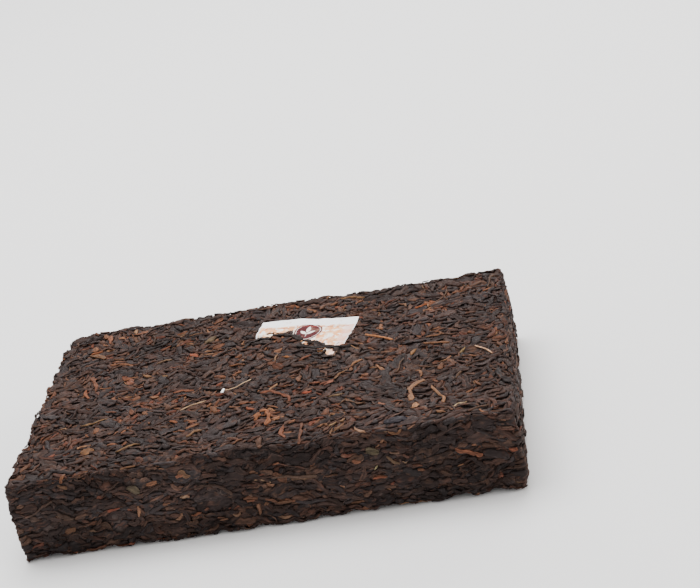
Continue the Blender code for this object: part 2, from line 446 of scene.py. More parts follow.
def heading_on_face(grain, u, v):
    """The way strands tend to lie on a face: mostly lengthwise, any way further in, and along the mould near its walls."""
    near = 1 / (1 + math.exp((v + 18) / 7))  # 1 near the front
    lean = 0.15 + 0.8 * grain(np.array([[u, v, 0.0]]))[0] * (1 - 0.6 * near)
    way = lean + rng.normal(0, 0.9 - 0.3 * near)
    if rng.random() < 0.1 + 0.25 * (1 - near):
        way = rng.uniform(0, math.pi)
    to_x, to_y = HALF_X - abs(u), HALF_Y - abs(v)
    if min(to_x, to_y) < 3 and rng.random() < 0.6:
        way = rng.normal(0, 0.35) + (math.pi / 2 if to_x < to_y else 0)
    return way


def heading_on_side(u, v):
    """Strands in the sides lie level, in layers, with a few ends that show."""
    if rng.random() < 0.12:
        return rng.uniform(0, math.pi)
    return 0.25 * GRAIN_BELT(np.array([[u, v * 1.5, 0.0]]))[0] + rng.normal(0, 0.22)


def fill(chart, passes, mix, heading, inside):
    """Lays strands where nothing covers the chart yet, one pass after another, each a little deeper."""
    cells = np.arange(chart.n[0] * chart.n[1])
    i, j = cells // chart.n[1], cells % chart.n[1]
    cu, cv = chart.low[0] + (i + 0.5) * CELL, chart.low[1] + (j + 0.5) * CELL
    cells = cells[inside(cu, cv)]
    for p in passes:
        order = rng.permutation(cells)
        order = order[chart.top[order] < p["below"]]
        if p.get("most"):
            order = order[: p["most"]]
        laid = 0
        for cell in order:
            if chart.top[cell] >= p["below"]:
                continue
            u, v = chart.centre(cell)
            kind = pick(p.get("mix", mix), u, v)
            off = abs(rng.normal(0, p["spread"])) + p["off"]
            if lay(chart, kind, u, v, heading(u, v), off, p["need"], avoid=p.get("avoid"), grip=p.get("grip", 1.0)):
                laid += 1
        left = (chart.top[cells] < -8).mean()
        print(f"pass: tried {len(order)}, laid {laid}, bare {left:.3f}")


# ---- the paper ticket's place ------------------------------------------
TICKET_SIZE = (32.0, 26.0)
TICKET_AT = (6.7, 17.5)
TICKET_TURN = math.radians(-14.3)
TICKET_FAR, TICKET_NEAR = -0.16, -1.05  # its height against the pressed level, far and near edge
# where the leaf lets the paper show
SHOWN = [
    (-6.2, 36.1), (27.2, 29.1), (21.8, 9.3), (20.2, 9.4), (16.2, 10.8), (14.2, 14.2), (12.3, 15.6), (9.7, 16.8), (8.8, 14.9),
    (7.9, 18.8), (7.9, 20.5), (5.2, 23.2), (4.2, 26.7), (2.2, 25.6), (-0.1, 25.1), (-2.0, 26.4), (-2.8, 23.6), (-3.8, 23.9), (-4.6, 25.6), (-7.4, 25.1),
]
SCRAP = [(12.6, 9.5), (13.1, 10.1), (18.4, 8.8), (17.7, 4.5), (16.3, 8.3)]  # a corner of it that shows again lower down


def ticket_local(x, y):
    """Plan position in the ticket's own frame, from its middle."""
    c, s = math.cos(-TICKET_TURN), math.sin(-TICKET_TURN)
    dx, dy = x - TICKET_AT[0], y - TICKET_AT[1]
    return c * dx - s * dy, s * dx + c * dy


def ticket_height(q):
    """Height of the paper at q along its own far-near direction."""
    f = np.clip(q / TICKET_SIZE[1] + 0.5, 0, 1)
    return TICKET_NEAR + (TICKET_FAR - TICKET_NEAR) * f


def within(poly, x, y):
    """Whether points lie in a polygon."""
    x, y = np.atleast_1d(x), np.atleast_1d(y)
    inside = np.zeros(x.shape, bool)
    px, py = np.array(poly).T
    for (x0, y0), (x1, y1) in zip(poly, poly[1:] + poly[:1]):
        if y0 == y1:
            continue
        cross = (y0 > y) != (y1 > y)
        inside ^= cross & (x < x0 + (y - y0) * (x1 - x0) / (y1 - y0))
    return inside


def on_paper(x, y, grow=0.0):
    p, q = ticket_local(np.asarray(x), np.asarray(y))
    return (np.abs(p) < TICKET_SIZE[0] / 2 + grow) & (np.abs(q) < TICKET_SIZE[1] / 2 + grow)


def shrink(poly, d):
    """The polygon pulled in towards its middle by about d."""
    pts = np.array(poly)
    mid = pts.mean(0)
    out = pts - mid
    size = np.linalg.norm(out, axis=1)[:, None]
    return [tuple(p) for p in mid + out * np.maximum(size - d, 0) / size]


SHOWN_CORE = shrink(SHOWN, 0.35)
SCRAP_CORE = shrink(SCRAP, 0.25)


def off_poly(poly, x, y):
    """The distance from points to a polygon, 0 inside it."""
    x, y = np.atleast_1d(x).astype(float), np.atleast_1d(y).astype(float)
    best = np.full(x.shape, 1e9)
    for (x0, y0), (x1, y1) in zip(poly, poly[1:] + poly[:1]):
        ex, ey = x1 - x0, y1 - y0
        t = np.clip(((x - x0) * ex + (y - y0) * ey) / (ex * ex + ey * ey), 0, 1)
        best = np.minimum(best, np.hypot(x - x0 - t * ex, y - y0 - t * ey))
    return np.where(within(poly, x, y), 0, best)


def off_shown(x, y):
    """The distance from points to the parts of the ticket that show."""
    return np.minimum(off_poly(SHOWN, x, y), off_poly(SCRAP, x, y))


def near_shown(x, y, d):
    return off_shown(x, y) < d


def keeps_paper_clear(u, v):
    """Whether a strand would cover the part of the ticket that shows."""
    return bool((on_paper(u, v, 0.5) & (within(SHOWN_CORE, u, v) | within(SCRAP_CORE, u, v))).any())


# ---- lay the top face ---------------------------------------------------
def strip(chart, kind, path, colour, width, off=0.0):
    lay(chart, kind, 0, 0, 0, off, (0.0, 0.0), path=path, colour=colour, width=width)


# strands that stand out, at the places where they are seen
strip(top, "hair", [(-12.4, -8.7), (-11.3, -9.2), (-9.3, -8.9), (-7.5, -6.8), (-5.3, -4.7)], (206, 176, 138), 0.30, -0.1)
strip(top, "hair", [(-13.5, -9.9), (-13.0, -7.9)], (252, 250, 246), 1.25, -0.2)
strip(top, "stalk", [(-24.7, -17.0), (-21.6, -14.8), (-18.0, -12.9)], (152, 124, 92), 0.5)
strip(top, "leaf_russet", [(-0.7, -24.7), (1.3, -25.1), (2.2, -27.3), (2.1, -30.5), (1.6, -32.9)], (166, 102, 62), 1.35)
strip(top, "leaf_broad", [(-1.5, -29.6), (-0.8, -25.7)], (158, 98, 58), 2.1)
strip(top, "leaf_russet", [(6.9, -34.8), (6.4, -38.5), (7.6, -41.9)], (156, 94, 64), 1.05)
strip(top, "leaf_russet", [(12.0, -35.1), (12.1, -40.4), (11.8, -45.3)], (132, 86, 64), 0.85)
strip(top, "leaf_brown", [(18.4, -22.2), (22.8, -22.0)], (132, 104, 70), 1.2)
strip(top, "bud", [(21.0, -42.3), (24.1, -39.9)], (156, 114, 80), 0.8)
strip(top, "leaf_russet", [(-46.2, 8.9), (-44.2, 9.9)], (156, 96, 60), 1.8)
strip(top, "leaf_russet", [(-59.4, 30.9), (-57.0, 31.7)], (150, 88, 50), 1.7)
strip(top, "leaf_russet", [(-33.2, 36.3), (-30.6, 37.5)], (158, 94, 50), 1.9)
strip(top, "leaf_russet", [(41.9, -31.5), (41.8, -27.9), (42.1, -24.9), (43.3, -22.6), (45.5, -20.6)], (188, 136, 98), 1.45)
strip(top, "leaf_broad", [(42.8, -36.3), (43.4, -33.6)], (188, 136, 98), 2.1)
strip(top, "bud", [(53.6, -39.2), (55.4, -38.1), (57.3, -37.7)], (206, 176, 132), 0.75)
strip(top, "bud", [(47.8, -25.5), (49.4, -29.7), (50.4, -32.9), (51.8, -36.1)], (182, 130, 90), 0.95)
strip(top, "leaf_russet", [(45.6, 1.5), (48.8, 1.1), (52.6, 0.5)], (160, 108, 72), 1.5)
strip(top, "bud", [(41.8, -3.3), (43.4, -0.7)], (188, 134, 82), 1.6)
strip(top, "bud", [(56.0, -7.5), (57.6, -5.5)], (164, 132, 84), 1.6)
strip(top, "stalk", [(60.4, -5.1), (63.0, -7.3), (65.6, -11.4)], (190, 148, 112), 0.5)
strip(top, "leaf_russet", [(42.8, 27.1), (45.8, 28.7)], (156, 88, 48), 1.8)
strip(top, "bud", [(18.8, 41.7), (22.2, 41.5), (26.4, 40.4)], (164, 120, 76), 0.8)
strip(top, "stalk", [(27.8, 13.7), (31.2, 11.5), (36.1, 7.9)], (156, 100, 58), 0.7)
strip(top, "leaf_russet", [(-1.7, -13.8), (1.1, -13.5), (3.6, -15.5), (6.6, -18.1), (7.6, -21.1)], (142, 84, 58), 1.0)
strip(top, "leaf_russet", [(11.0, -18.1), (13.4, -17.3)], (176, 84, 52), 1.5)
strip(top, "bud", [(-54.2, -17.3), (-50.8, -17.4), (-47.0, -15.0)], (168, 128, 84), 0.8)
strip(top, "leaf_broad", [(-50.6, -33.5), (-47.6, -31.9)], (142, 98, 62), 3.0)
strip(top, "bud", [(-40.6, -35.7), (-38.0, -34.7), (-36.2, -32.8), (-34.1, -33.3)], (186, 142, 92), 0.85)
strip(top, "leaf_brown", [(-22.8, 26.3), (-19.8, 27.9)], (120, 100, 70), 1.9)
strip(top, "bud", [(19.8, -39.3), (22.0, -38.3)], (186, 148, 104), 1.2)
strip(top, "leaf_russet", [(16.8, -15.3), (19.4, -13.3)], (150, 92, 70), 0.9)
strip(top, "leaf_brown", [(19.7, -12.5), (21.3, -9.2), (23.3, -7.3)], (140, 100, 66), 0.9)
strip(top, "leaf_russet", [(15.7, -14.4), (19.8, -12.5)], (130, 76, 54), 1.1)
strip(top, "leaf_russet", [(-7.2, -18.8), (-4.7, -18.3), (-2.0, -19.4)], (144, 84, 50), 1.1)
strip(top, "leaf_russet", [(-4.8, -21.7), (-2.8, -23.4)], (156, 82, 48), 1.3)
strip(top, "bud", [(2.6, 8.5), (4.4, 7.2), (6.3, 6.7)], (172, 106, 50), 1.2)
strip(top, "leaf_russet", [(8.1, 3.1), (11.7, 6.0)], (146, 88, 60), 0.9)
strip(top, "bud", [(24.3, -5.4), (25.4, -3.0), (27.3, -2.2)], (172, 118, 76), 1.2)
strip(top, "leaf_broad", [(0.5, 4.0), (3.5, 0.7)], (128, 78, 54), 2.2)
strip(top, "leaf_russet", [(-13.0, 6.6), (-10.7, 6.9), (-8.3, 5.8)], (146, 94, 58), 0.9)
strip(top, "leaf_russet", [(-29.1, -4.4), (-26.0, -3.8), (-22.5, -5.3)], (146, 86, 56), 0.9)
strip(top, "leaf_russet", [(-26.7, -7.4), (-24.3, -7.2)], (136, 80, 54), 0.9)
strip(top, "bud", [(-36.1, -4.1), (-32.9, -5.1)], (158, 108, 74), 1.4)
strip(top, "leaf_brown", [(-15.7, -17.2), (-13.8, -22.0)], (134, 86, 54), 1.8)
strip(top, "leaf_russet", [(-27.0, -22.1), (-24.6, -24.4)], (154, 90, 48), 1.1)
strip(top, "leaf_brown", [(-20.5, -33.2), (-18.7, -31.0), (-16.4, -31.4)], (146, 106, 70), 1.1)
strip(top, "leaf_russet", [(32.9, -30.1), (34.5, -31.9)], (164, 106, 78), 1.1)
strip(top, "bud", [(27.3, -41.7), (28.4, -44.7), (30.4, -46.6)], (182, 138, 106), 1.1)
strip(top, "leaf_brown", [(22.2, -28.2), (23.4, -26.4), (25.6, -27.7), (27.5, -29.4), (29.2, -28.7)], (128, 94, 70), 0.7)
strip(top, "leaf_russet", [(12.5, -12.9), (15.5, -12.7)], (138, 82, 56), 1.0)
strip(top, "bud", [(-34.2, 7.9), (-31.8, 6.8)], (150, 112, 74), 1.1)
strip(top, "bud", [(-40.3, 10.4), (-37.5, 8.8)], (162, 116, 76), 1.1)
strip(top, "leaf_russet", [(-26.9, 19.0), (-24.4, 17.7)], (182, 100, 68), 1.6)
strip(top, "leaf_russet", [(-36.9, 26.7), (-34.5, 27.7)], (146, 88, 60), 1.7)
strip(top, "leaf_russet", [(-52.1, 19.9), (-48.9, 19.7), (-45.0, 17.4)], (152, 98, 64), 0.9)
strip(top, "leaf_russet", [(-51.9, 22.1), (-48.6, 21.7)], (140, 90, 62), 0.9)
strip(top, "leaf_broad", [(-46.7, 11.4), (-42.8, 5.8)], (134, 82, 60), 2.6)
strip(top, "leaf_broad", [(-59.8, 30.9), (-55.1, 26.0)], (138, 98, 68), 2.2)
strip(top, "leaf_russet", [(-56.2, 13.2), (-55.0, 8.4), (-53.6, 4.2)], (134, 84, 58), 1.3)
strip(top, "leaf_russet", [(-57.3, 5.4), (-55.5, 0.4)], (152, 90, 56), 1.1)
strip(top, "leaf_russet", [(-56.3, 42.4), (-54.7, 36.5)], (144, 88, 60), 1.0)
strip(top, "leaf_russet", [(-47.6, 40.2), (-43.5, 40.8)], (144, 94, 70), 0.8)
strip(top, "leaf_russet", [(-31.4, 26.4), (-29.3, 28.1), (-27.1, 27.9)], (136, 82, 60), 1.0)
strip(top, "bud", [(-37.0, 17.0), (-34.8, 18.5), (-32.3, 17.9)], (142, 110, 82), 0.8)
strip(top, "leaf_broad", [(35.0, -41.2), (38.1, -41.2), (41.1, -42.1)], (50, 48, 56), 2.8)
# over the paper: the dark stalk across its lower corner, and the leaf that buries its near side
strip(top, "leaf_long", [(6.8, 13.9), (9.8, 11.9), (13.4, 10.1), (17.6, 9.0), (23.2, 7.7)], (38, 31, 30), 1.1)
strip(top, "leaf_mid", [(-1.4, 23.5), (1.8, 23.1), (4.8, 21.1), (7.8, 17.7)], (52, 42, 40), 1.7, 0.05)
strip(top, "leaf_mid", [(8.4, 16.9), (11.0, 15.3), (13.4, 13.3), (15.6, 10.7)], (50, 40, 38), 1.5, 0.05)
strip(top, "leaf_broad", [(-10.0, 17.7), (-9.4, 21.1), (-6.2, 23.5), (-2.4, 23.3)], (50, 41, 40), 2.5)
strip(top, "leaf_russet", [(-1.4, 22.9), (0.8, 20.7), (0.6, 17.9)], (112, 66, 40), 1.6)
strip(top, "leaf_broad", [(-7.6, 19.7), (-4.4, 20.5), (-1.6, 19.5)], (62, 50, 47), 2.6, 0.1)
strip(top, "bud", [(-5.4, 23.7), (-3.4, 24.9), (-1.2, 25.3)], (150, 98, 54), 1.2)


def over_the_paper(u, v):
    return on_paper(u, v, 0.3) & near_shown(u, v, 1.6) & ~within(SHOWN, u, v) & ~within(SCRAP, u, v)


fill(
    top,
    [
        dict(below=-8, off=0.0, spread=0.12, need=(0.5, 1.2), most=1500, avoid=keeps_paper_clear),
        dict(below=-8, off=0.05, spread=0.15, need=(0.3, 0.5), most=1500, avoid=keeps_paper_clear, mix=dict(leaf_short=0.6, leaf_brown=0.2, crumb=0.2)),
        dict(below=-8, off=0.1, spread=0.15, need=(0.3, 0.2), most=1500, avoid=keeps_paper_clear, mix=dict(crumb=1)),
    ],
    MIX_TOP,
    lambda u, v: heading_on_face(GRAIN_TOP, u, v),
    over_the_paper,
)
# now the paper itself covers what is left of its place
cells = np.arange(top.n[0] * top.n[1])
cx = top.low[0] + (cells // top.n[1] + 0.5) * CELL
cy = top.low[1] + (cells % top.n[1] + 0.5) * CELL
flat = on_paper(cx, cy) & near_shown(cx, cy, 0.9)
paper_z = ticket_height(ticket_local(cx, cy)[1])
bare = flat & (top.top < paper_z)
top.top[bare] = paper_z[bare]
top.crest[bare] = paper_z[bare] + 0.12


def near_face(limit):
    return lambda u, v: over_edge(u, v, EDGE)[0] < limit


fill(
    top,
    [
        dict(below=-8, off=0.0, spread=0.11, need=(0.72, 2.6), most=5200),
        dict(below=-8, off=0.03, spread=0.16, need=(0.5, 1.8), most=8000),
        dict(below=-8, off=0.06, spread=0.2, need=(0.36, 1.2), most=9000),
        dict(below=-8, off=0.1, spread=0.22, need=(0.22, 0.7), most=11000),
        dict(below=-8, off=0.15, spread=0.22, need=(0.3, 0.35), most=11000, mix=MIX_GAPS),
    ],
    MIX_TOP,
    lambda u, v: heading_on_face(GRAIN_TOP, u, v),
    near_face(0.8),
)
print("top", len(top.strands))
fill(
    under,
    [
        dict(below=-8, off=0.0, spread=0.12, need=(0.72, 3.0), most=5000),
        dict(below=-8, off=0.05, spread=0.2, need=(0.5, 2.2), most=8000),
        dict(below=-8, off=0.12, spread=0.25, need=(0.34, 1.5), most=9000),
        dict(below=-8, off=0.2, spread=0.25, need=(0.3, 0.6), most=5000, mix=MIX_GAPS),
    ],
    MIX_TOP,
    lambda u, v: heading_on_face(GRAIN_UNDER, u, v),
    near_face(0.6),
)
print("under", len(under.strands))

FRONT = HALF_X - CORNERS[0]  # the way round where x is 0 on the front


def front(kind, path, colour, width):
    strip(belt, kind, [(x + FRONT, z) for x, z in path], colour, width)


front("leaf_russet", [(-31.2, 18.7), (-28.6, 19.1)], (142, 88, 54), 1.4)
front("leaf_russet", [(-22.8, 20.6), (-20.8, 20.8)], (140, 82, 50), 1.1)
front("bud", [(-35.5, 9.6), (-35.1, 11.4), (-35.3, 13.0)], (142, 94, 60), 1.1)
front("leaf_russet", [(-43.4, 12.4), (-40.4, 12.9)], (142, 68, 42), 0.9)
front("leaf_russet", [(-21.0, 7.1), (-18.6, 7.6)], (150, 86, 50), 1.0)
front("leaf_russet", [(-5.6, 8.8), (-3.2, 9.2)], (142, 84, 52), 0.9)
front("bud", [(-14.4, 3.7), (-12.2, 4.1)], (160, 106, 70), 1.0)
front("leaf_brown", [(-56.8, 7.6), (-54.4, 8.4)], (128, 84, 52), 1.6)
front("leaf_russet", [(52.6, 15.5), (55.2, 14.4), (59.6, 12.2)], (164, 92, 54), 1.2)
front("leaf_russet", [(66.2, 13.2), (68.6, 12.8)], (160, 82, 46), 1.3)
front("bud", [(52.6, 10.5), (54.2, 10.9)], (176, 118, 72), 1.1)
front("leaf_broad", [(29.2, 18.6), (32.4, 18.0)], (98, 84, 58), 2.0)
front("leaf_russet", [(25.4, 16.6), (27.2, 16.5)], (156, 92, 56), 1.0)
front("bud", [(30.4, 12.8), (31.4, 14.4)], (150, 134, 84), 0.8)
front("stalk", [(2.6, 15.6), (8.6, 14.8), (14.6, 14.3)], (80, 58, 45), 0.95)
front("leaf_russet", [(3.8, 19.5), (5.6, 19.7)], (150, 88, 52), 0.9)
front("leaf_russet", [(29.4, 10.2), (32.4, 10.0)], (148, 78, 44), 0.8)
front("leaf_brown", [(2.4, 7.3), (6.4, 7.7)], (122, 80, 52), 1.3)
front("leaf_brown", [(22.2, 3.1), (25.2, 3.5)], (116, 76, 48), 1.2)
front("leaf_broad", [(3.7, 16.7), (6.1, 13.4)], (122, 76, 50), 2.3)
front("leaf_brown", [(7.7, 14.1), (11.0, 14.2), (14.1, 14.0)], (110, 78, 52), 1.2)
front("leaf_russet", [(-6.4, 9.4), (-2.6, 9.5)], (128, 80, 52), 1.1)
front("leaf_russet", [(-0.3, 9.2), (2.5, 7.6)], (132, 82, 54), 1.0)
front("leaf_russet", [(3.1, 7.4), (7.2, 7.5)], (130, 78, 48), 1.2)
front("leaf_russet", [(25.0, 16.7), (26.6, 16.6)], (128, 78, 50), 1.1)
front("leaf_brown", [(34.1, 16.5), (35.2, 15.0), (37.0, 14.0)], (112, 82, 54), 0.8)
front("leaf_russet", [(29.5, 10.7), (32.9, 10.1)], (116, 72, 48), 0.9)
front("leaf_brown", [(16.9, 13.5), (20.2, 12.9)], (106, 70, 48), 0.9)
front("leaf_brown", [(-18.8, 15.6), (-15.0, 15.2), (-11.5, 14.0), (-9.1, 12.0)], (88, 64, 52), 0.9)
front("leaf_russet", [(-14.4, 5.2), (-13.0, 4.0)], (118, 76, 52), 1.2)
front("leaf_brown", [(-52.4, 0.5), (-50.2, 0.5), (-47.6, 1.3)], (126, 76, 50), 1.0)
front("leaf_broad", [(-36.4, 19.2), (-33.8, 17.4)], (94, 80, 58), 2.1)
front("leaf_brown", [(-22.2, 21.2), (-19.0, 19.6)], (126, 88, 56), 1.4)
front("crumb", [(-49.8, 6.9), (-48.4, 6.4)], (138, 104, 78), 0.9)
front("leaf_broad", [(-46.9, 8.4), (-44.3, 6.5)], (100, 70, 52), 2.2)
front("leaf_russet", [(-28.4, 11.9), (-26.4, 12.3)], (118, 76, 50), 1.0)
front("leaf_brown", [(-58.0, 13.7), (-53.4, 12.0)], (90, 66, 52), 1.6)
front("leaf_brown", [(-64.9, 14.4), (-61.8, 12.8)], (86, 62, 50), 1.8)
front("leaf_russet", [(-55.7, 22.7), (-53.3, 21.6)], (122, 84, 54), 1.0)
for turn in TURNS[:3]:  # leaf folded round the sharp corners
    z = 0.6
    while z < TOP_Z - 0.5:
        a, b = rng.uniform(0.7, 3.8, 2)
        rise = rng.normal(0, 0.75, 3)
        rise[rise + z < 0.5] = 0
        rise[rise + z > TOP_Z] = 0
        lay(
            belt,
            str(rng.choice(["leaf_mid", "leaf_short", "leaf_long", "leaf_brown", "leaf_broad"])),
            0,
            0,
            0,
            rng.uniform(-0.12, 0.12) - (0.1 if z < 1 else 0),
            (0.3, 0.3),
            path=[(turn - a, z + rise[0]), (turn + rng.normal(0, 0.3), z + rise[1]), (turn + b, z + rise[2])],
            width=rng.uniform(0.8, 2.4),
        )
        z += rng.uniform(0.7, 3.0)
for low, high, count in ((0.0, 0.9, 260), (TOP_Z - 0.9, TOP_Z, 200)):  # crumbs along the foot and the rim
    for _ in range(count):
        lay(
            belt,
            str(rng.choice(["crumb", "leaf_short"])),
            rng.uniform(0, ROUND),
            rng.uniform(low, high),
            rng.normal(0, 0.6),
            -rng.uniform(0.0, 0.22),
            (0.5, 0.3),
        )
for _ in range(420):  # bits that stand out from the sides
    lay(
        belt,
        str(rng.choice(["leaf_short", "leaf_mid", "leaf_brown", "crumb"])),
        rng.uniform(0, ROUND),
        rng.uniform(0.6, TOP_Z - 0.6),
        rng.normal(0, 0.45),
        -rng.uniform(0.05, 0.32),
        (0.6, 0.4),
    )
fill(
    belt,
    [
        dict(below=-8, off=0.0, spread=0.24, need=(0.72, 2.6), most=5200),
        dict(below=-8, off=0.06, spread=0.30, need=(0.5, 1.8), most=8000),
        dict(below=-8, off=0.12, spread=0.32, need=(0.36, 1.2), most=9000),
        dict(below=-8, off=0.2, spread=0.3, need=(0.22, 0.7), most=9000),
        dict(below=-8, off=0.25, spread=0.25, need=(0.3, 0.35), most=9000, mix=MIX_GAPS),
    ],
    MIX_BELT,
    heading_on_side,
    lambda u, v: (v > 0.2) & (v < TOP_Z - 0.2),
)
print("belt", len(belt.strands))

SHADES = Waves(71, 14)  # where the leaf as a whole is a little lighter or darker

# ---- strands into meshes ------------------------------------------------
# Across a strand's upper side: place from edge to edge, and how far the flattened section has fallen there
THIN = (np.array([-1, -0.36, 0.34, 1.0]), np.array([1.0, 0.05, 0.0, 1.0]))
FEW = (np.array([-1, -0.55, 0.02, 0.58, 1.0]), np.array([1.0, 0.14, 0.0, 0.18, 1.0]))
SOME = (np.array([-1, -0.66, -0.24, 0.18, 0.62, 1.0]), np.array([1.0, 0.22, 0.0, 0.04, 0.16, 1.0]))
MANY = (
    np.array([-1, -0.82, -0.58, -0.33, -0.08, 0.18, 0.42, 0.66, 0.86, 1.0]),
    np.array([1.0, 0.42, 0.10, 0.0, 0.05, 0.0, 0.04, 0.12, 0.45, 1.0]),
)


def new_object(name, verts, loops, starts, uvs, tint):
    """A mesh object from flat arrays. verts are in millimetres; uvs is {name: per-loop array}; tint is a colour per vertex."""
    mesh = bpy.data.meshes.new(name)
    mesh.vertices.add(len(verts))
    mesh.vertices.foreach_set("co", (verts / 1000).astype(np.float32).ravel())
    mesh.loops.add(len(loops))
    mesh.loops.foreach_set("vertex_index", loops.astype(np.int32))
    mesh.polygons.add(len(starts))
    mesh.polygons.foreach_set("loop_start", starts.astype(np.int32))
    for key, uv in uvs.items():
        mesh.uv_layers.new(name=key).data.foreach_set("uv", uv.astype(np.float32).ravel())
    mesh.update(calc_edges=True)
    mesh.validate()
    if tint is not None:
        layer = mesh.color_attributes.new("Tint", "FLOAT_COLOR", "POINT")
        layer.data.foreach_set("color", np.column_stack([tint, np.ones(len(tint))]).astype(np.float32).ravel())
    mesh.polygons.foreach_set("use_smooth", np.ones(len(mesh.polygons), bool))
    obj = bpy.data.objects.new(name, mesh)
    bpy.context.scene.collection.objects.link(obj)
    return obj


def strand_arrays(strands, chart, made, section):
    """Vertices, faces and maps of strands of one kind on one chart, grouped by how many rings they take."""
    broad = strands[0]["kind"] == "leaf_broad"
    plain = strands[0]["kind"] in ("stalk", "hair")
    A, prof = section
    K = len(A)
    sides = K + 1
    spacing = (0.85 if broad else 0.72) * (1.5 if chart is under else 1.0)
    by_rings = {}
    for s in strands:
        rings = int(np.clip(round(s["length"] / spacing) + 1, 4, 17))
        by_rings.setdefault(rings, []).append(s)
    for rings, group in by_rings.items():
        n = len(group)
        f = np.linspace(0, 1, rings)
        u, v, z, hl, hr, b = (
            np.array([np.interp(f, np.linspace(0, 1, len(s[key])), s[key]) for s in group])
            for key in ("u", "v", "z", "left", "right", "thick")
        )
        length, width, lean = (np.array([s[key] for s in group]) for key in ("length", "width", "lean"))
        du, dv = np.gradient(u, axis=1), np.gradient(v, axis=1)
        size = np.maximum(np.hypot(du, dv), 1e-9)
        du, dv = du / size, dv / size
        s_mm = f[None] * length[:, None]

        # upper side: flattened, wrinkled along its length, with a fold or two that cross it slowly
        lat = np.where(A < 0, hl[:, :, None] * A, hr[:, :, None] * A)
        amp = (0.13 if not plain else 0.02) * np.clip(width, 0.3, 1.7)[:, None, None]
        inner = 1 - 0.55 * np.abs(A) ** 4
        wrinkle = rng.normal(0, 0.75, (n, 1, K)) + rng.normal(0, 0.65, (n, rings, K))
        pitch = rng.uniform(2.2, 6.0, n)[:, None, None] * rng.choice([-1, 1], n)[:, None, None]
        turns = (1.2 if not broad else 3.2) * A[None, None] - s_mm[:, :, None] / pitch * 2 + rng.uniform(0, 2, (n, 1, 1))
        fold = np.cos(math.pi * turns) * rng.uniform(0.2, 1.5, (n, 1, 1))
        relief = np.clip(amp * (0.6 * wrinkle + 0.7 * fold) * inner, -0.22, 0.16)
        tilt = lean[:, None, None] * lat - np.abs(lean[:, None] * (hl + hr) / 2)[:, :, None]
        rise = z[:, :, None] - b[:, :, None] * prof + relief + tilt
        lat = lat + rng.normal(0, 0.045, lat.shape) * width[:, None, None]
        low_lat = (hr - hl) / 2 * 0.5
        low = (z - 2.0 * b)[:, :, None]
        lat = np.concatenate([lat, low_lat[:, :, None]], 2)
        rise = np.concatenate([rise, np.minimum(low, rise.min(2, keepdims=True) - 0.05)], 2)
        vu = u[:, :, None] - dv[:, :, None] * lat
        vv = v[:, :, None] + du[:, :, None] * lat
        tips = []
        for end, sign in ((0, -1), (-1, 1)):
            reach = rng.uniform(0.25, 0.8, n) * (hl[:, end] + hr[:, end]) / 2
            slip = rng.uniform(-0.5, 0.5, n) * (hl[:, end] + hr[:, end]) / 2
            tips.append(
                (
                    u[:, end] + sign * du[:, end] * reach - dv[:, end] * slip,
                    v[:, end] + sign * dv[:, end] * reach + du[:, end] * slip,
                    z[:, end] - b[:, end] * rng.uniform(0.6, 1.2, n),
                )
            )
        per = rings * sides + 2
        pu = np.concatenate([vu.reshape(n, -1), tips[0][0][:, None], tips[1][0][:, None]], 1)
        pv = np.concatenate([vv.reshape(n, -1), tips[0][1][:, None], tips[1][1][:, None]], 1)
        pz = np.concatenate([rise.reshape(n, -1), tips[0][2][:, None], tips[1][2][:, None]], 1)
        xyz = settle(warp(chart.place(pu.ravel(), pv.ravel(), pz.ravel())))
        xyz[:, 2] = np.maximum(xyz[:, 2], 0.02 + 0.05 * rng.random(len(xyz)))
        # no strand's edge stands out past the brick's stated size
        xyz[:, :2] = np.clip(xyz[:, :2], -SIZE_HALF, SIZE_HALF)

        # faces of one strand, with its two maps' coordinates as (along, around)
        ids, along, around, starts = [], [], [], []
        at = 0
        span = rings + 1  # the map's columns: a cap, the rings, a cap
        for r in range(rings - 1):
            for k in range(sides):
                nk = (k + 1) % sides
                ids += [r * sides + k, (r + 1) * sides + k, (r + 1) * sides + nk, r * sides + nk]
                along += [r + 1, r + 2, r + 2, r + 1]
                around += [k, k, k + 1, k + 1]
                starts.append(at)
                at += 4
        for tip, ring, mid in ((rings * sides, 0, 0.25), (rings * sides + 1, rings - 1, rings + 0.75)):
            for k in range(sides):
                nk = (k + 1) % sides
                if ring == 0:
                    ids += [tip, k, nk]
                    around += [sides / 2, k, k + 1]
                else:
                    ids += [tip, ring * sides + nk, ring * sides + k]
                    around += [sides / 2, k + 1, k]
                along += [mid, ring + 1, ring + 1]
                starts.append(at)
                at += 3
        ids, along, around, starts = (np.array(q) for q in (ids, along, around, starts))

        # colour: a tone per strand, streaks along it, patches of its mate's colour, and edges and undersides painted
        # lighter against the shade that falls on them
        base, mate = np.empty((n, 3)), np.empty((n, 3))
        for row, s in enumerate(group):
            k = KINDS[s["kind"]]
            if s["colour"] is not None:
                base[row] = linear(*s["colour"])
                mate[row] = base[row] * (0.62, 0.55, 0.5)
            else:
                base[row] = linear(*k["colours"][int(rng.integers(len(k["colours"])))]) * rng.uniform(0.82, 1.18) * (0.6 if plain else 1)
                mate[row] = linear(*k["mates"][int(rng.integers(len(k["mates"])))]) * rng.uniform(0.8, 1.2)
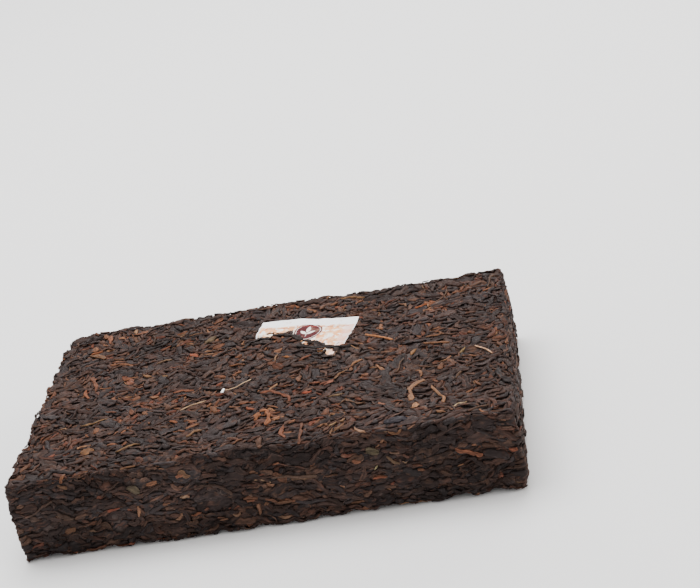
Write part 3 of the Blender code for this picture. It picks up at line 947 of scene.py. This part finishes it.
        # painted light and shade: the sides are made lighter and greyer, and the top darker and redder, which sets how
        # bright each face looks under the lamps
        if chart is belt:
            pure, gain = 0.72, (1.09, 1.09, 1.08)
        else:
            dark = strands[0]["kind"] in DARKER
            pure, gain = (0.95, (0.81, 0.78, 0.752)) if dark else (0.90, (0.83, 0.80, 0.783))
        for c in (base, mate):
            grey = (c @ (0.2126, 0.7152, 0.0722))[:, None]
            c[:] = (grey + (c - grey) * pure) * gain
        tone = 1 + 0.20 * SHADES(np.column_stack([u.mean(1), v.mean(1), np.zeros(n)]))[:, None]
        tone = tone * (1 + 0.50 * np.clip(-z.mean(1), 0, 1.2))[:, None]  # painted light: the deeper a strand lies, the lighter it is made, to offset the shade between strands
        base, mate = base * tone, mate * tone
        stations = np.arange(sides)[None, None]
        patch = (
            np.sin(s_mm[:, :, None] * rng.uniform(0.6, 2.6, (n, 1, 1)) + rng.uniform(0, 6.3, (n, 1, 1)))
            + 0.8 * np.sin(stations * rng.uniform(0.6, 1.8, (n, 1, 1)) + rng.uniform(0, 6.3, (n, 1, 1)))
            + rng.normal(0, 0.5, (n, rings, sides))
            - rng.uniform(0.1, 2.2, (n, 1, 1))
        )
        patch = np.clip(0.5 + patch * 1.4, 0, 1)[..., None] * 0.8
        ring_tint = base[:, None, None] * (1 - patch) + mate[:, None, None] * patch
        streak = rng.normal(1, 0.13, (n, 1, sides)) * rng.normal(1, 0.11, (n, rings, sides))
        # painted light: the falling edges and the underside are lightened to offset their shade
        edge = np.concatenate([1 + 0.36 * np.abs(A) ** 4, [1.2]])
        ring_tint = ring_tint * (streak * edge)[..., None]
        tip_tint = ring_tint[:, [0, -1]].mean(2) * 0.9
        tint = np.clip(np.concatenate([ring_tint.reshape(n, -1, 3), tip_tint], 1) * (TONE if not plain else 1), 0.001, 0.95)
        made.append(
            dict(
                n=n,
                per=per,
                xyz=xyz,
                ids=ids,
                starts=starts,
                loops=len(ids),
                along=along,
                around=around,
                span=span,
                sides=sides,
                tint=tint.reshape(-1, 3),
                length=length,
                width=hl.max(1) + hr.max(1),
            )
        )


def build_piece(name, parts):
    """Joins groups of strands into one mesh, with a map in millimetres for the grain and one packed map."""
    total = sum(p["n"] for p in parts)
    cols = max(1, int(math.sqrt(total / 2.6)))
    rows = math.ceil(total / cols)
    verts, loops, starts, grain, packed, tint = [], [], [], [], [], []
    v_at = l_at = count = 0
    for p in parts:
        n, per, nl = p["n"], p["per"], p["loops"]
        verts.append(p["xyz"])
        tint.append(p["tint"])
        loops.append((p["ids"][None] + (np.arange(n) * per)[:, None]).ravel() + v_at)
        starts.append((p["starts"][None] + (np.arange(n) * nl)[:, None]).ravel() + l_at)
        number = count + np.arange(n)
        shift = rng.uniform(0, 400, (n, 2))
        u_mm = p["along"][None] / p["span"] * p["length"][:, None] + shift[:, :1]
        v_mm = p["around"][None] / (p["sides"] - 2) * p["width"][:, None] * 1.2 + shift[:, 1:]
        grain.append(np.stack([u_mm, v_mm], -1).reshape(-1, 2))
        col, row = number % cols, number // cols
        cu = (col[:, None] + 0.06 + 0.88 * p["along"][None] / p["span"]) / cols
        cv = (row[:, None] + 0.08 + 0.84 * p["around"][None] / p["sides"]) / rows
        packed.append(np.stack([cu, cv], -1).reshape(-1, 2))
        v_at += n * per
        l_at += n * nl
        count += n
    obj = new_object(
        name,
        np.concatenate(verts),
        np.concatenate(loops),
        np.concatenate(starts),
        {"Grain": np.concatenate(grain), "OFBake": np.concatenate(packed)},
        np.concatenate(tint),
    )
    obj.data.uv_layers["Grain"].active_render = True
    return obj


# ---- materials ----------------------------------------------------------
def nodes_of(name):
    mat = bpy.data.materials.new(name)
    mat.use_nodes = True
    tree = mat.node_tree
    shader = next(n for n in tree.nodes if n.type == "BSDF_PRINCIPLED")
    return mat, tree, shader


def node(tree, kind, **inputs):
    made = tree.nodes.new(kind)
    for key, value in inputs.items():
        setattr(made, key, value)
    return made


def leaf_material(name, roughness=(0.55, 0.85), streak=0.36, bump=0.9, specular=0.18):
    """Dry leaf: the strand's own tint, streaked along the strand, with wrinkles that run the same way."""
    mat, tree, shader = nodes_of(name)
    link = tree.links.new
    tint = node(tree, "ShaderNodeVertexColor", layer_name="Tint")
    uv = node(tree, "ShaderNodeUVMap", uv_map="Grain")

    def noise(along, across, detail):
        stretch = node(tree, "ShaderNodeMapping")
        stretch.inputs["Scale"].default_value = (along, across, 1)
        link(uv.outputs["UV"], stretch.inputs["Vector"])
        made = node(tree, "ShaderNodeTexNoise", noise_dimensions="2D")
        made.inputs["Scale"].default_value = 1.0
        made.inputs["Detail"].default_value = detail
        made.inputs["Roughness"].default_value = 0.6
        link(stretch.outputs["Vector"], made.inputs["Vector"])
        return made.outputs["Fac"]

    def between(value, low, high):
        made = node(tree, "ShaderNodeMapRange")
        made.inputs["From Min"].default_value = 0.3
        made.inputs["From Max"].default_value = 0.7
        made.inputs["To Min"].default_value = low
        made.inputs["To Max"].default_value = high
        link(value, made.inputs["Value"])
        return made.outputs["Result"]

    grain = noise(0.55, 3.0, 4.0)
    blotch = noise(0.9, 1.2, 3.0)
    times = node(tree, "ShaderNodeMath", operation="MULTIPLY")
    link(between(grain, 1 - streak, 1 + streak), times.inputs[0])
    link(between(blotch, 0.78, 1.22), times.inputs[1])
    shade = node(tree, "ShaderNodeVectorMath", operation="SCALE")
    link(tint.outputs["Color"], shade.inputs[0])
    link(times.outputs["Value"], shade.inputs["Scale"])
    link(shade.outputs["Vector"], shader.inputs["Base Color"])
    link(between(blotch, *roughness), shader.inputs["Roughness"])
    lump = node(tree, "ShaderNodeBump")
    lump.inputs["Strength"].default_value = bump
    lump.inputs["Distance"].default_value = 0.00016
    link(grain, lump.inputs["Height"])
    link(lump.outputs["Normal"], shader.inputs["Normal"])
    shader.inputs["Specular IOR Level"].default_value = specular
    shader.inputs["Specular Tint"].default_value = (1.0, 0.84, 0.80, 1)
    return mat


MATERIALS = {
    "leaf_long": leaf_material("pressed_leaf_long"),
    "leaf_mid": leaf_material("pressed_leaf_mid"),
    "leaf_short": leaf_material("pressed_leaf_short"),
    "leaf_broad": leaf_material("pressed_leaf_broad", bump=1.0),
    "leaf_brown": leaf_material("pressed_leaf_brown"),
    "leaf_russet": leaf_material("pressed_leaf_russet", roughness=(0.6, 0.9)),
    "bud": leaf_material("pressed_bud", roughness=(0.65, 0.9), streak=0.28, specular=0.2),
    "stalk": leaf_material("pressed_stalk", streak=0.22, bump=0.5),
    "wisp": leaf_material("pressed_wisp", roughness=(0.6, 0.9), streak=0.25),
    "crumb": leaf_material("pressed_crumb", roughness=(0.65, 0.9)),
    "hair": leaf_material("pressed_fibre", roughness=(0.6, 0.8), streak=0.1, bump=0.2),
}

pieces = []
for kind, mat in MATERIALS.items():
    parts = []
    for chart in (top, belt, under):
        chosen = [s for s in chart.strands if s["kind"] == kind]
        wide = [s for s in chosen if s["width"] > 1.3]
        slim = [s for s in chosen if s["width"] <= 1.3]
        if kind == "leaf_broad":
            groups = [(chosen, MANY)]
        elif kind in ("stalk", "hair", "wisp", "crumb"):
            groups = [(chosen, THIN)]
        elif chart is under:
            groups = [(wide, FEW), (slim, THIN)]
        else:
            groups = [(wide, SOME), (slim, FEW)]
        for group, section in groups:
            if group:
                strand_arrays(group, chart, parts, section)
    obj = build_piece(kind, parts)
    obj.data.materials.append(mat)
    pieces.append(obj)
    tris = sum(len(p.vertices) - 2 for p in obj.data.polygons)
    print(kind, sum(p["n"] for p in parts), "strands", tris, "triangles")


# ---- the core -----------------------------------------------------------
def low_points(chart):
    """The laid surface's lower envelope, smoothed a little, as a grid."""
    g = np.maximum(chart.top.reshape(chart.n), -1.25)
    low = g.copy()
    for shift in (1, 2):
        for axis in (0, 1):
            for way in (-shift, shift):
                low = np.minimum(low, np.roll(g, way, axis))
    for _ in range(2):
        for axis in (0, 1):
            low = (np.roll(low, 1, axis) + 2 * low + np.roll(low, -1, axis)) / 4
    return low


def build_core():
    """A dark block just under the strands, rough where leaf finer than a strand fills the gaps."""
    step = 1.15
    xs = np.linspace(-HALF_X, HALF_X, round(2 * HALF_X / step) + 1)
    ys = np.linspace(-HALF_Y, HALF_Y, round(2 * HALF_Y / step) + 1)
    zs = np.linspace(0, TOP_Z, round(TOP_Z / step) + 1)
    index, keys = {}, []

    def corner(i, j, k):
        key = (i, j, k)
        if key not in index:
            index[key] = len(keys)
            keys.append(key)
        return index[key]

    nx, ny, nz = len(xs) - 1, len(ys) - 1, len(zs) - 1
    faces = []
    for i in range(nx):
        for j in range(ny):
            faces.append((corner(i, j, nz), corner(i + 1, j, nz), corner(i + 1, j + 1, nz), corner(i, j + 1, nz)))
            faces.append((corner(i, j, 0), corner(i, j + 1, 0), corner(i + 1, j + 1, 0), corner(i + 1, j, 0)))
    for i in range(nx):
        for k in range(nz):
            faces.append((corner(i, 0, k), corner(i + 1, 0, k), corner(i + 1, 0, k + 1), corner(i, 0, k + 1)))
            faces.append((corner(i, ny, k), corner(i, ny, k + 1), corner(i + 1, ny, k + 1), corner(i + 1, ny, k)))
    for j in range(ny):
        for k in range(nz):
            faces.append((corner(0, j, k), corner(0, j, k + 1), corner(0, j + 1, k + 1), corner(0, j + 1, k)))
            faces.append((corner(nx, j, k), corner(nx, j + 1, k), corner(nx, j + 1, k + 1), corner(nx, j, k + 1)))
    keys = np.array(keys)
    px, py, pz = xs[keys[:, 0]], ys[keys[:, 1]], zs[keys[:, 2]]
    # square block to rounded block: pull each point to the rounded one, then inward by the strands' depth
    ox, oy = px.copy(), py.copy()
    rc = corner_at(px, py)
    dx, dy = np.abs(px) - (HALF_X - rc), np.abs(py) - (HALF_Y - rc)
    both = (dx > 0) & (dy > 0)
    reach, far = np.hypot(dx, dy), np.maximum(dx, dy)
    pull = np.where(both, far / np.maximum(reach, 1e-9), 1)
    ox = np.where(both, np.sign(px) * (HALF_X - rc + dx * pull), px)
    oy = np.where(both, np.sign(py) * (HALF_Y - rc + dy * pull), py)
    low_top, low_under, low_belt = low_points(top), low_points(under), low_points(belt)

    def sample(chart, grid, u, v):
        cell = chart.at(u, v)
        return grid.ravel()[cell]

    depth_top = np.clip(-sample(top, low_top, ox, oy) + 0.16, 0.6, 1.3)
    depth_under = np.clip(-sample(under, low_under, ox, oy) + 0.16, 0.6, 1.3)
    # the way round for side points
    table = OUTLINE[:-1]
    side = (keys[:, 0] == 0) | (keys[:, 0] == nx) | (keys[:, 1] == 0) | (keys[:, 1] == ny)
    way = np.zeros(len(keys))
    where = np.flatnonzero(side)
    for chunk in np.array_split(where, max(1, len(where) // 2000)):
        d = (ox[chunk, None] - table[None, :, 1]) ** 2 + (oy[chunk, None] - table[None, :, 2]) ** 2
        way[chunk] = table[d.argmin(1), 0]
    depth_belt = np.clip(-sample(belt, low_belt, way, pz) + 0.16, 0.6, 1.3)
    nxo = np.interp(way, OUTLINE[:, 0], OUTLINE[:, 3])
    nyo = np.interp(way, OUTLINE[:, 0], OUTLINE[:, 4])
    is_top, is_under = keys[:, 2] == nz, keys[:, 2] == 0
    x, y, z = ox.copy(), oy.copy(), pz.copy()
    x = np.where(side, x - nxo * depth_belt, x)
    y = np.where(side, y - nyo * depth_belt, y)
    # rounded rims: inner points of the faces stay, points near the rim go down
    sd, ex, ey = over_edge(ox, oy, EDGE)
    round_off = np.clip((sd + 1.2) / (EDGE + 1.2), 0, 1) ** 2
    z = np.where(is_top, TOP_Z - depth_top - 0.55 * round_off, z)
    z = np.where(is_under, depth_under + 0.45 * round_off, z)
    x = np.where((is_top | is_under) & ~side, np.clip(x, -HALF_X + 1.2, HALF_X - 1.2), x)
    y = np.where((is_top | is_under) & ~side, np.clip(y, -HALF_Y + 1.2, HALF_Y - 1.2), y)
    # keep the sides' uppermost and lowest rows inside the rounding too
    z = np.where(side & ~is_top & ~is_under, np.clip(z, 1.2, TOP_Z - 1.3), z)
    p = warp(np.column_stack([x, y, z]))
    p += np.random.default_rng(3).normal(0, 0.07, p.shape)
    p[:, :2] = np.clip(p[:, :2], 0.5 - SIZE_HALF, SIZE_HALF - 0.5)  # behind the leaf where the sides bulge most
    faces = np.array(faces)
    loops = faces.ravel()
    starts = np.arange(len(faces)) * 4
    # the core shows only in the gaps; its dark leaf colour skips TONE, so it is lighter than leaf of the same value:
    # painted light against the shade there
    lum = np.random.default_rng(4).uniform(0.6, 1.4, (len(p), 1))
    obj = new_object("core", p, loops, starts, {}, linear(58, 45, 41)[None] * lum)
    mat, tree, shader = nodes_of("pressed_dust")
    link = tree.links.new
    tint = node(tree, "ShaderNodeVertexColor", layer_name="Tint")
    where = node(tree, "ShaderNodeTexCoord")
    dust = node(tree, "ShaderNodeTexNoise")
    dust.inputs["Scale"].default_value = 1100
    dust.inputs["Detail"].default_value = 3
    link(where.outputs["Object"], dust.inputs["Vector"])
    spread = node(tree, "ShaderNodeMapRange")
    spread.inputs["From Min"].default_value = 0.3
    spread.inputs["From Max"].default_value = 0.7
    spread.inputs["To Min"].default_value = 0.5
    spread.inputs["To Max"].default_value = 1.5
    link(dust.outputs["Fac"], spread.inputs["Value"])
    shade = node(tree, "ShaderNodeVectorMath", operation="SCALE")
    link(tint.outputs["Color"], shade.inputs[0])
    link(spread.outputs["Result"], shade.inputs["Scale"])
    link(shade.outputs["Vector"], shader.inputs["Base Color"])
    lump = node(tree, "ShaderNodeBump")
    lump.inputs["Strength"].default_value = 0.8
    lump.inputs["Distance"].default_value = 0.0003
    link(dust.outputs["Fac"], lump.inputs["Height"])
    link(lump.outputs["Normal"], shader.inputs["Normal"])
    shader.inputs["Roughness"].default_value = 0.85
    obj.data.materials.append(mat)
    return obj


core = build_core()
pieces.append(core)


# ---- the ticket ---------------------------------------------------------
def build_ticket():
    """Thin printed paper, a little crumpled by the leaf under it."""
    nu, nv = 64, 52
    p = np.linspace(-TICKET_SIZE[0] / 2, TICKET_SIZE[0] / 2, nu + 1)
    q = np.linspace(-TICKET_SIZE[1] / 2, TICKET_SIZE[1] / 2, nv + 1)
    P, Q = (g.ravel() for g in np.meshgrid(p, q, indexing="ij"))
    edge = np.minimum(TICKET_SIZE[0] / 2 - np.abs(P), TICKET_SIZE[1] / 2 - np.abs(Q))
    fray = Waves(31, 1.6)(np.column_stack([P, Q, 0 * P])) * 0.12 * (edge < 0.01)
    down = TICKET_SIZE[1] / 2 - Q
    P0, Q0 = P.copy(), Q.copy()
    P = P + 0.13 * down * np.clip(-P / (TICKET_SIZE[0] / 2), 0, 1)
    bow = np.exp(-(((P + 4) / 8.5) ** 2)) * np.clip(1 - down / 12, 0, 1)
    Q = Q + 0.9 * bow
    c, s = math.cos(TICKET_TURN), math.sin(TICKET_TURN)
    X = TICKET_AT[0] + c * (P + fray) - s * (Q + fray)
    Y = TICKET_AT[1] + s * (P + fray) + c * (Q + fray)
    at = np.column_stack([X, Y, 0 * X])
    h = ticket_height(Q) + 0.22 * bow + 0.07 * Waves(32, 5)(at) + 0.045 * Waves(33, 1.9)(at) + 0.02 * Waves(34, 0.9)(at)
    lift = np.clip(1 - edge / 1.5, 0, 1) ** 2 * 0.10 * (0.5 + Waves(35, 6)(at))
    dive = np.clip((off_shown(X, Y) - 0.5) / 1.4, 0, 1)
    h = h + lift - 1.5 * dive * dive * (3 - 2 * dive)
    sheets = [warp(place_top(X, Y, h)), warp(place_top(X, Y, h - 0.10))]
    verts = np.concatenate(sheets)
    n = len(X)
    idx = np.arange(n).reshape(nu + 1, nv + 1)
    a, b, c_, d = idx[:-1, :-1], idx[1:, :-1], idx[1:, 1:], idx[:-1, 1:]
    up = np.stack([a, b, c_, d], -1).reshape(-1, 4)
    down = np.stack([d, c_, b, a], -1).reshape(-1, 4) + n
    rim = []
    ring = np.concatenate([idx[:, 0], idx[-1, 1:], idx[-2::-1, -1], idx[0, -2:0:-1]])
    for e0, e1 in zip(ring, np.roll(ring, -1)):
        rim.append((e1, e0, e0 + n, e1 + n))
    faces = np.concatenate([up, down, np.array(rim)])
    U = np.concatenate([P0, P0]) / TICKET_SIZE[0] + 0.5
    V = np.concatenate([Q0, Q0]) / TICKET_SIZE[1] + 0.5
    loops = faces.ravel()
    uv = np.column_stack([U[loops], V[loops]])
    under_side = np.zeros((len(faces), 4), bool)
    under_side[len(up) : len(up) + len(down)] = True
    packed = uv.copy() * (0.96, 0.47) + (0.02, 0.51)
    packed[under_side.ravel()] -= (0, 0.495)
    k = len(up) + len(down)
    m = len(rim)
    strip_u = 0.02 + 0.96 * np.arange(m) / m
    rim_uv = np.stack(
        [
            np.column_stack([strip_u + 0.96 / m, np.full(m, 0.010)]),
            np.column_stack([strip_u, np.full(m, 0.010)]),
            np.column_stack([strip_u, np.full(m, 0.002)]),
            np.column_stack([strip_u + 0.96 / m, np.full(m, 0.002)]),
        ],
        1,
    ).reshape(-1, 2)
    packed[k * 4 :] = rim_uv
    obj = new_object("ticket", verts, loops, np.arange(len(faces)) * 4, {"Print": uv, "OFBake": packed}, None)
    obj.data.uv_layers["Print"].active_render = True
    mat, tree, shader = nodes_of("ticket_print")
    link = tree.links.new

    def number(op, x, y=None, clamp=False):
        m_ = node(tree, "ShaderNodeMath", operation=op, use_clamp=clamp)
        for slot_, value in ((0, x), (1, y)):
            if value is None:
                continue
            if isinstance(value, (int, float)):
                m_.inputs[slot_].default_value = value
            else:
                link(value, m_.inputs[slot_])
        return m_.outputs[0]

    def blend(fac, a_, b_):
        m_ = node(tree, "ShaderNodeMix", data_type="RGBA")
        sockets = [s_ for s_ in m_.inputs if s_.type == "RGBA"]
        link(fac, m_.inputs[0])
        for socket, value in zip(sockets, (a_, b_)):
            if isinstance(value, tuple):
                socket.default_value = value
            else:
                link(value, socket)
        return next(o for o in m_.outputs if o.type == "RGBA")

    def rgb(*c3):
        return (*[float(x) for x in linear(*c3)], 1.0)

    def noise(scale, detail, vector, rough=0.5):
        t = node(tree, "ShaderNodeTexNoise", noise_dimensions="2D")
        t.inputs["Scale"].default_value = scale
        t.inputs["Detail"].default_value = detail
        t.inputs["Roughness"].default_value = rough
        link(vector, t.inputs["Vector"])
        return t.outputs["Fac"]

    def step(value, low, high):
        r = node(tree, "ShaderNodeMapRange", interpolation_type="SMOOTHSTEP")
        r.inputs["From Min"].default_value = low
        r.inputs["From Max"].default_value = high
        link(value, r.inputs["Value"])
        return r.outputs["Result"]

    uvn = node(tree, "ShaderNodeUVMap", uv_map="Print")
    mm = node(tree, "ShaderNodeVectorMath", operation="MULTIPLY")
    link(uvn.outputs["UV"], mm.inputs[0])
    mm.inputs[1].default_value = (TICKET_SIZE[0], TICKET_SIZE[1], 0)
    at_mm = mm.outputs["Vector"]
    split = node(tree, "ShaderNodeSeparateXYZ")
    link(at_mm, split.inputs[0])
    px, py = split.outputs["X"], split.outputs["Y"]
    # peach ground, mottled
    ground = blend(step(noise(0.38, 2, at_mm, 0.5), 0.36, 0.62), rgb(255, 214, 176), rgb(244, 170, 112))
    ground = blend(step(noise(0.42, 2, at_mm, 0.55), 0.50, 0.58), ground, rgb(255, 248, 238))
    ground = blend(step(noise(0.8, 3, at_mm, 0.6), 0.60, 0.70), ground, rgb(222, 118, 84))
    # a pinker band down the right side
    ground = blend(number("MULTIPLY", step(px, TICKET_SIZE[0] - 4.2, TICKET_SIZE[0] - 2.4), 0.6), ground, rgb(244, 190, 178))
    # a white band along the far edge, and a thin margin at the sides
    left, right = px, number("SUBTRACT", TICKET_SIZE[0], px)
    far = number("SUBTRACT", TICKET_SIZE[1], py)
    side_in = number("MINIMUM", left, right)
    border = number("MULTIPLY", step(side_in, 0.25, 0.45), step(far, 3.9, 4.1))
    # a plain round seal of dark red with a pale sprig on it, right of the middle
    cx_, cy_ = 17.5, TICKET_SIZE[1] - 8.0
    rx, ry = number("SUBTRACT", px, cx_), number("SUBTRACT", py, cy_)
    wob = number("MULTIPLY", number("SUBTRACT", noise(1.6, 2, at_mm), 0.5), 0.5)
    dist = number("ADD", number("SQRT", number("ADD", number("MULTIPLY", rx, rx), number("MULTIPLY", ry, ry))), wob)
    disc = number("SUBTRACT", 1.0, step(dist, 4.5, 4.75))
    ring = number("MULTIPLY", step(dist, 3.85, 3.95), number("SUBTRACT", 1.0, step(dist, 4.05, 4.15)))

    def leaf(angle, ox_, oy_, long, wide):
        ca, sa = math.cos(angle), math.sin(angle)
        lx, ly = number("SUBTRACT", rx, ox_), number("SUBTRACT", ry, oy_)
        a1 = number("ADD", number("MULTIPLY", lx, ca), number("MULTIPLY", ly, sa))
        b1 = number("SUBTRACT", number("MULTIPLY", ly, ca), number("MULTIPLY", lx, sa))
        f = number("DIVIDE", a1, long)
        body = number("SUBTRACT", wide, number("MULTIPLY", number("MULTIPLY", f, f), wide))
        return number("MULTIPLY", step(number("SUBTRACT", body, number("ABSOLUTE", b1)), 0.0, 0.12), number("SUBTRACT", 1.0, step(number("ABSOLUTE", f), 0.97, 1.0)))

    sprig = leaf(math.radians(90), 0.0, 1.1, 1.9, 0.72)
    for args in ((math.radians(38), 1.25, -0.5, 1.6, 0.62), (math.radians(142), -1.25, -0.5, 1.6, 0.62), (math.radians(90), 0, -1.6, 1.5, 0.16)):
        sprig = number("MAXIMUM", sprig, leaf(*args))
    worn = step(noise(2.6, 3, at_mm, 0.7), 0.16, 0.28)
    red = number("MULTIPLY", disc, worn)
    pale = number("MAXIMUM", sprig, ring)
    colour = blend(red, ground, rgb(70, 0, 8))
    colour = blend(number("MULTIPLY", pale, disc), colour, rgb(240, 226, 220))
    # a thin dark red rule just under the white band
    rule = number("MULTIPLY", step(far, 4.75, 4.85), number("SUBTRACT", 1.0, step(far, 5.05, 5.15)))
    rule = number("MULTIPLY", rule, step(side_in, 2.0, 2.1))
    colour = blend(number("MULTIPLY", rule, worn), colour, rgb(140, 40, 30))
    colour = blend(border, rgb(254, 252, 252), colour)
    # tea stain and handling
    stain = step(noise(0.35, 4, at_mm, 0.7), 0.50, 0.72)
    colour = blend(number("MULTIPLY", stain, 0.28), colour, rgb(200, 160, 132))
    link(colour, shader.inputs["Base Color"])
    fibre = noise(9.0, 4, at_mm, 0.7)
    lump = node(tree, "ShaderNodeBump")
    lump.inputs["Strength"].default_value = 0.35
    lump.inputs["Distance"].default_value = 0.00006
    link(fibre, lump.inputs["Height"])
    link(lump.outputs["Normal"], shader.inputs["Normal"])
    shader.inputs["Roughness"].default_value = 0.8
    shader.inputs["Specular IOR Level"].default_value = 0.3
    obj.data.materials.append(mat)
    return obj


ticket = build_ticket()

# ---- the frame ----------------------------------------------------------
for piece in pieces:
    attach(piece, "root")
    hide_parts("tea_brick")
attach(ticket, "root")
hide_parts("paper_ticket")

# ---- floor, light and camera --------------------------------------------
bpy.ops.mesh.primitive_plane_add(size=12, location=(0, 0, -0.0001))
floor = bpy.context.object
floor.name = "floor"
mat, tree, shader = nodes_of("floor")
shader.inputs["Base Color"].default_value = (0.86, 0.86, 0.86, 1)
shader.inputs["Roughness"].default_value = 0.7
shader.inputs["Specular IOR Level"].default_value = 0.2
floor.data.materials.append(mat)

world = bpy.data.worlds.new("studio")
bpy.context.scene.world = world
world.use_nodes = True
background = next(n for n in world.node_tree.nodes if n.type == "BACKGROUND")
background.inputs["Color"].default_value = (1.0, 0.99, 0.98, 1)
background.inputs["Strength"].default_value = 0.85


def area(name, place, aim, size, power, colour=(1, 1, 1)):
    data = bpy.data.lights.new(name, "AREA")
    data.shape = "RECTANGLE"
    data.size, data.size_y = size
    data.energy = power
    data.color = colour
    light = bpy.data.objects.new(name, data)
    bpy.context.scene.collection.objects.link(light)
    light.location = place
    light.rotation_euler = (Vector(aim) - Vector(place)).to_track_quat("-Z", "Y").to_euler()
    return light


area("overhead", (-0.15, 0.25, 0.95), (0, 0, 0), (0.9, 0.7), 16.8)
area("back", (0.1, 1.15, 0.55), (0, 0, 0), (1.4, 0.5), 9)
area("right", (1.1, 0.0, 0.38), (0.05, 0, 0), (0.5, 0.5), 8, (1, 0.95, 0.91))

camera = bpy.data.cameras.new("camera")
camera.lens = 87.90
camera.sensor_width = 36
camera.clip_start = 0.01
cam = bpy.data.objects.new("camera", camera)
bpy.context.scene.collection.objects.link(cam)
bpy.context.scene.camera = cam
AZ, EL, ROLL = math.radians(-7.91), math.radians(23.71), math.radians(12.40)
forward = Vector((math.sin(AZ) * math.cos(EL), math.cos(AZ) * math.cos(EL), -math.sin(EL)))
right0 = Vector((math.cos(AZ), -math.sin(AZ), 0))
up0 = right0.cross(forward)
up = up0 * math.cos(ROLL) + right0 * math.sin(ROLL)
right = forward.cross(up)
turn = Matrix((right, up, -forward)).transposed().to_4x4()
cam.matrix_world = Matrix.Translation((0.08894, -0.44113, 0.24001)) @ turn
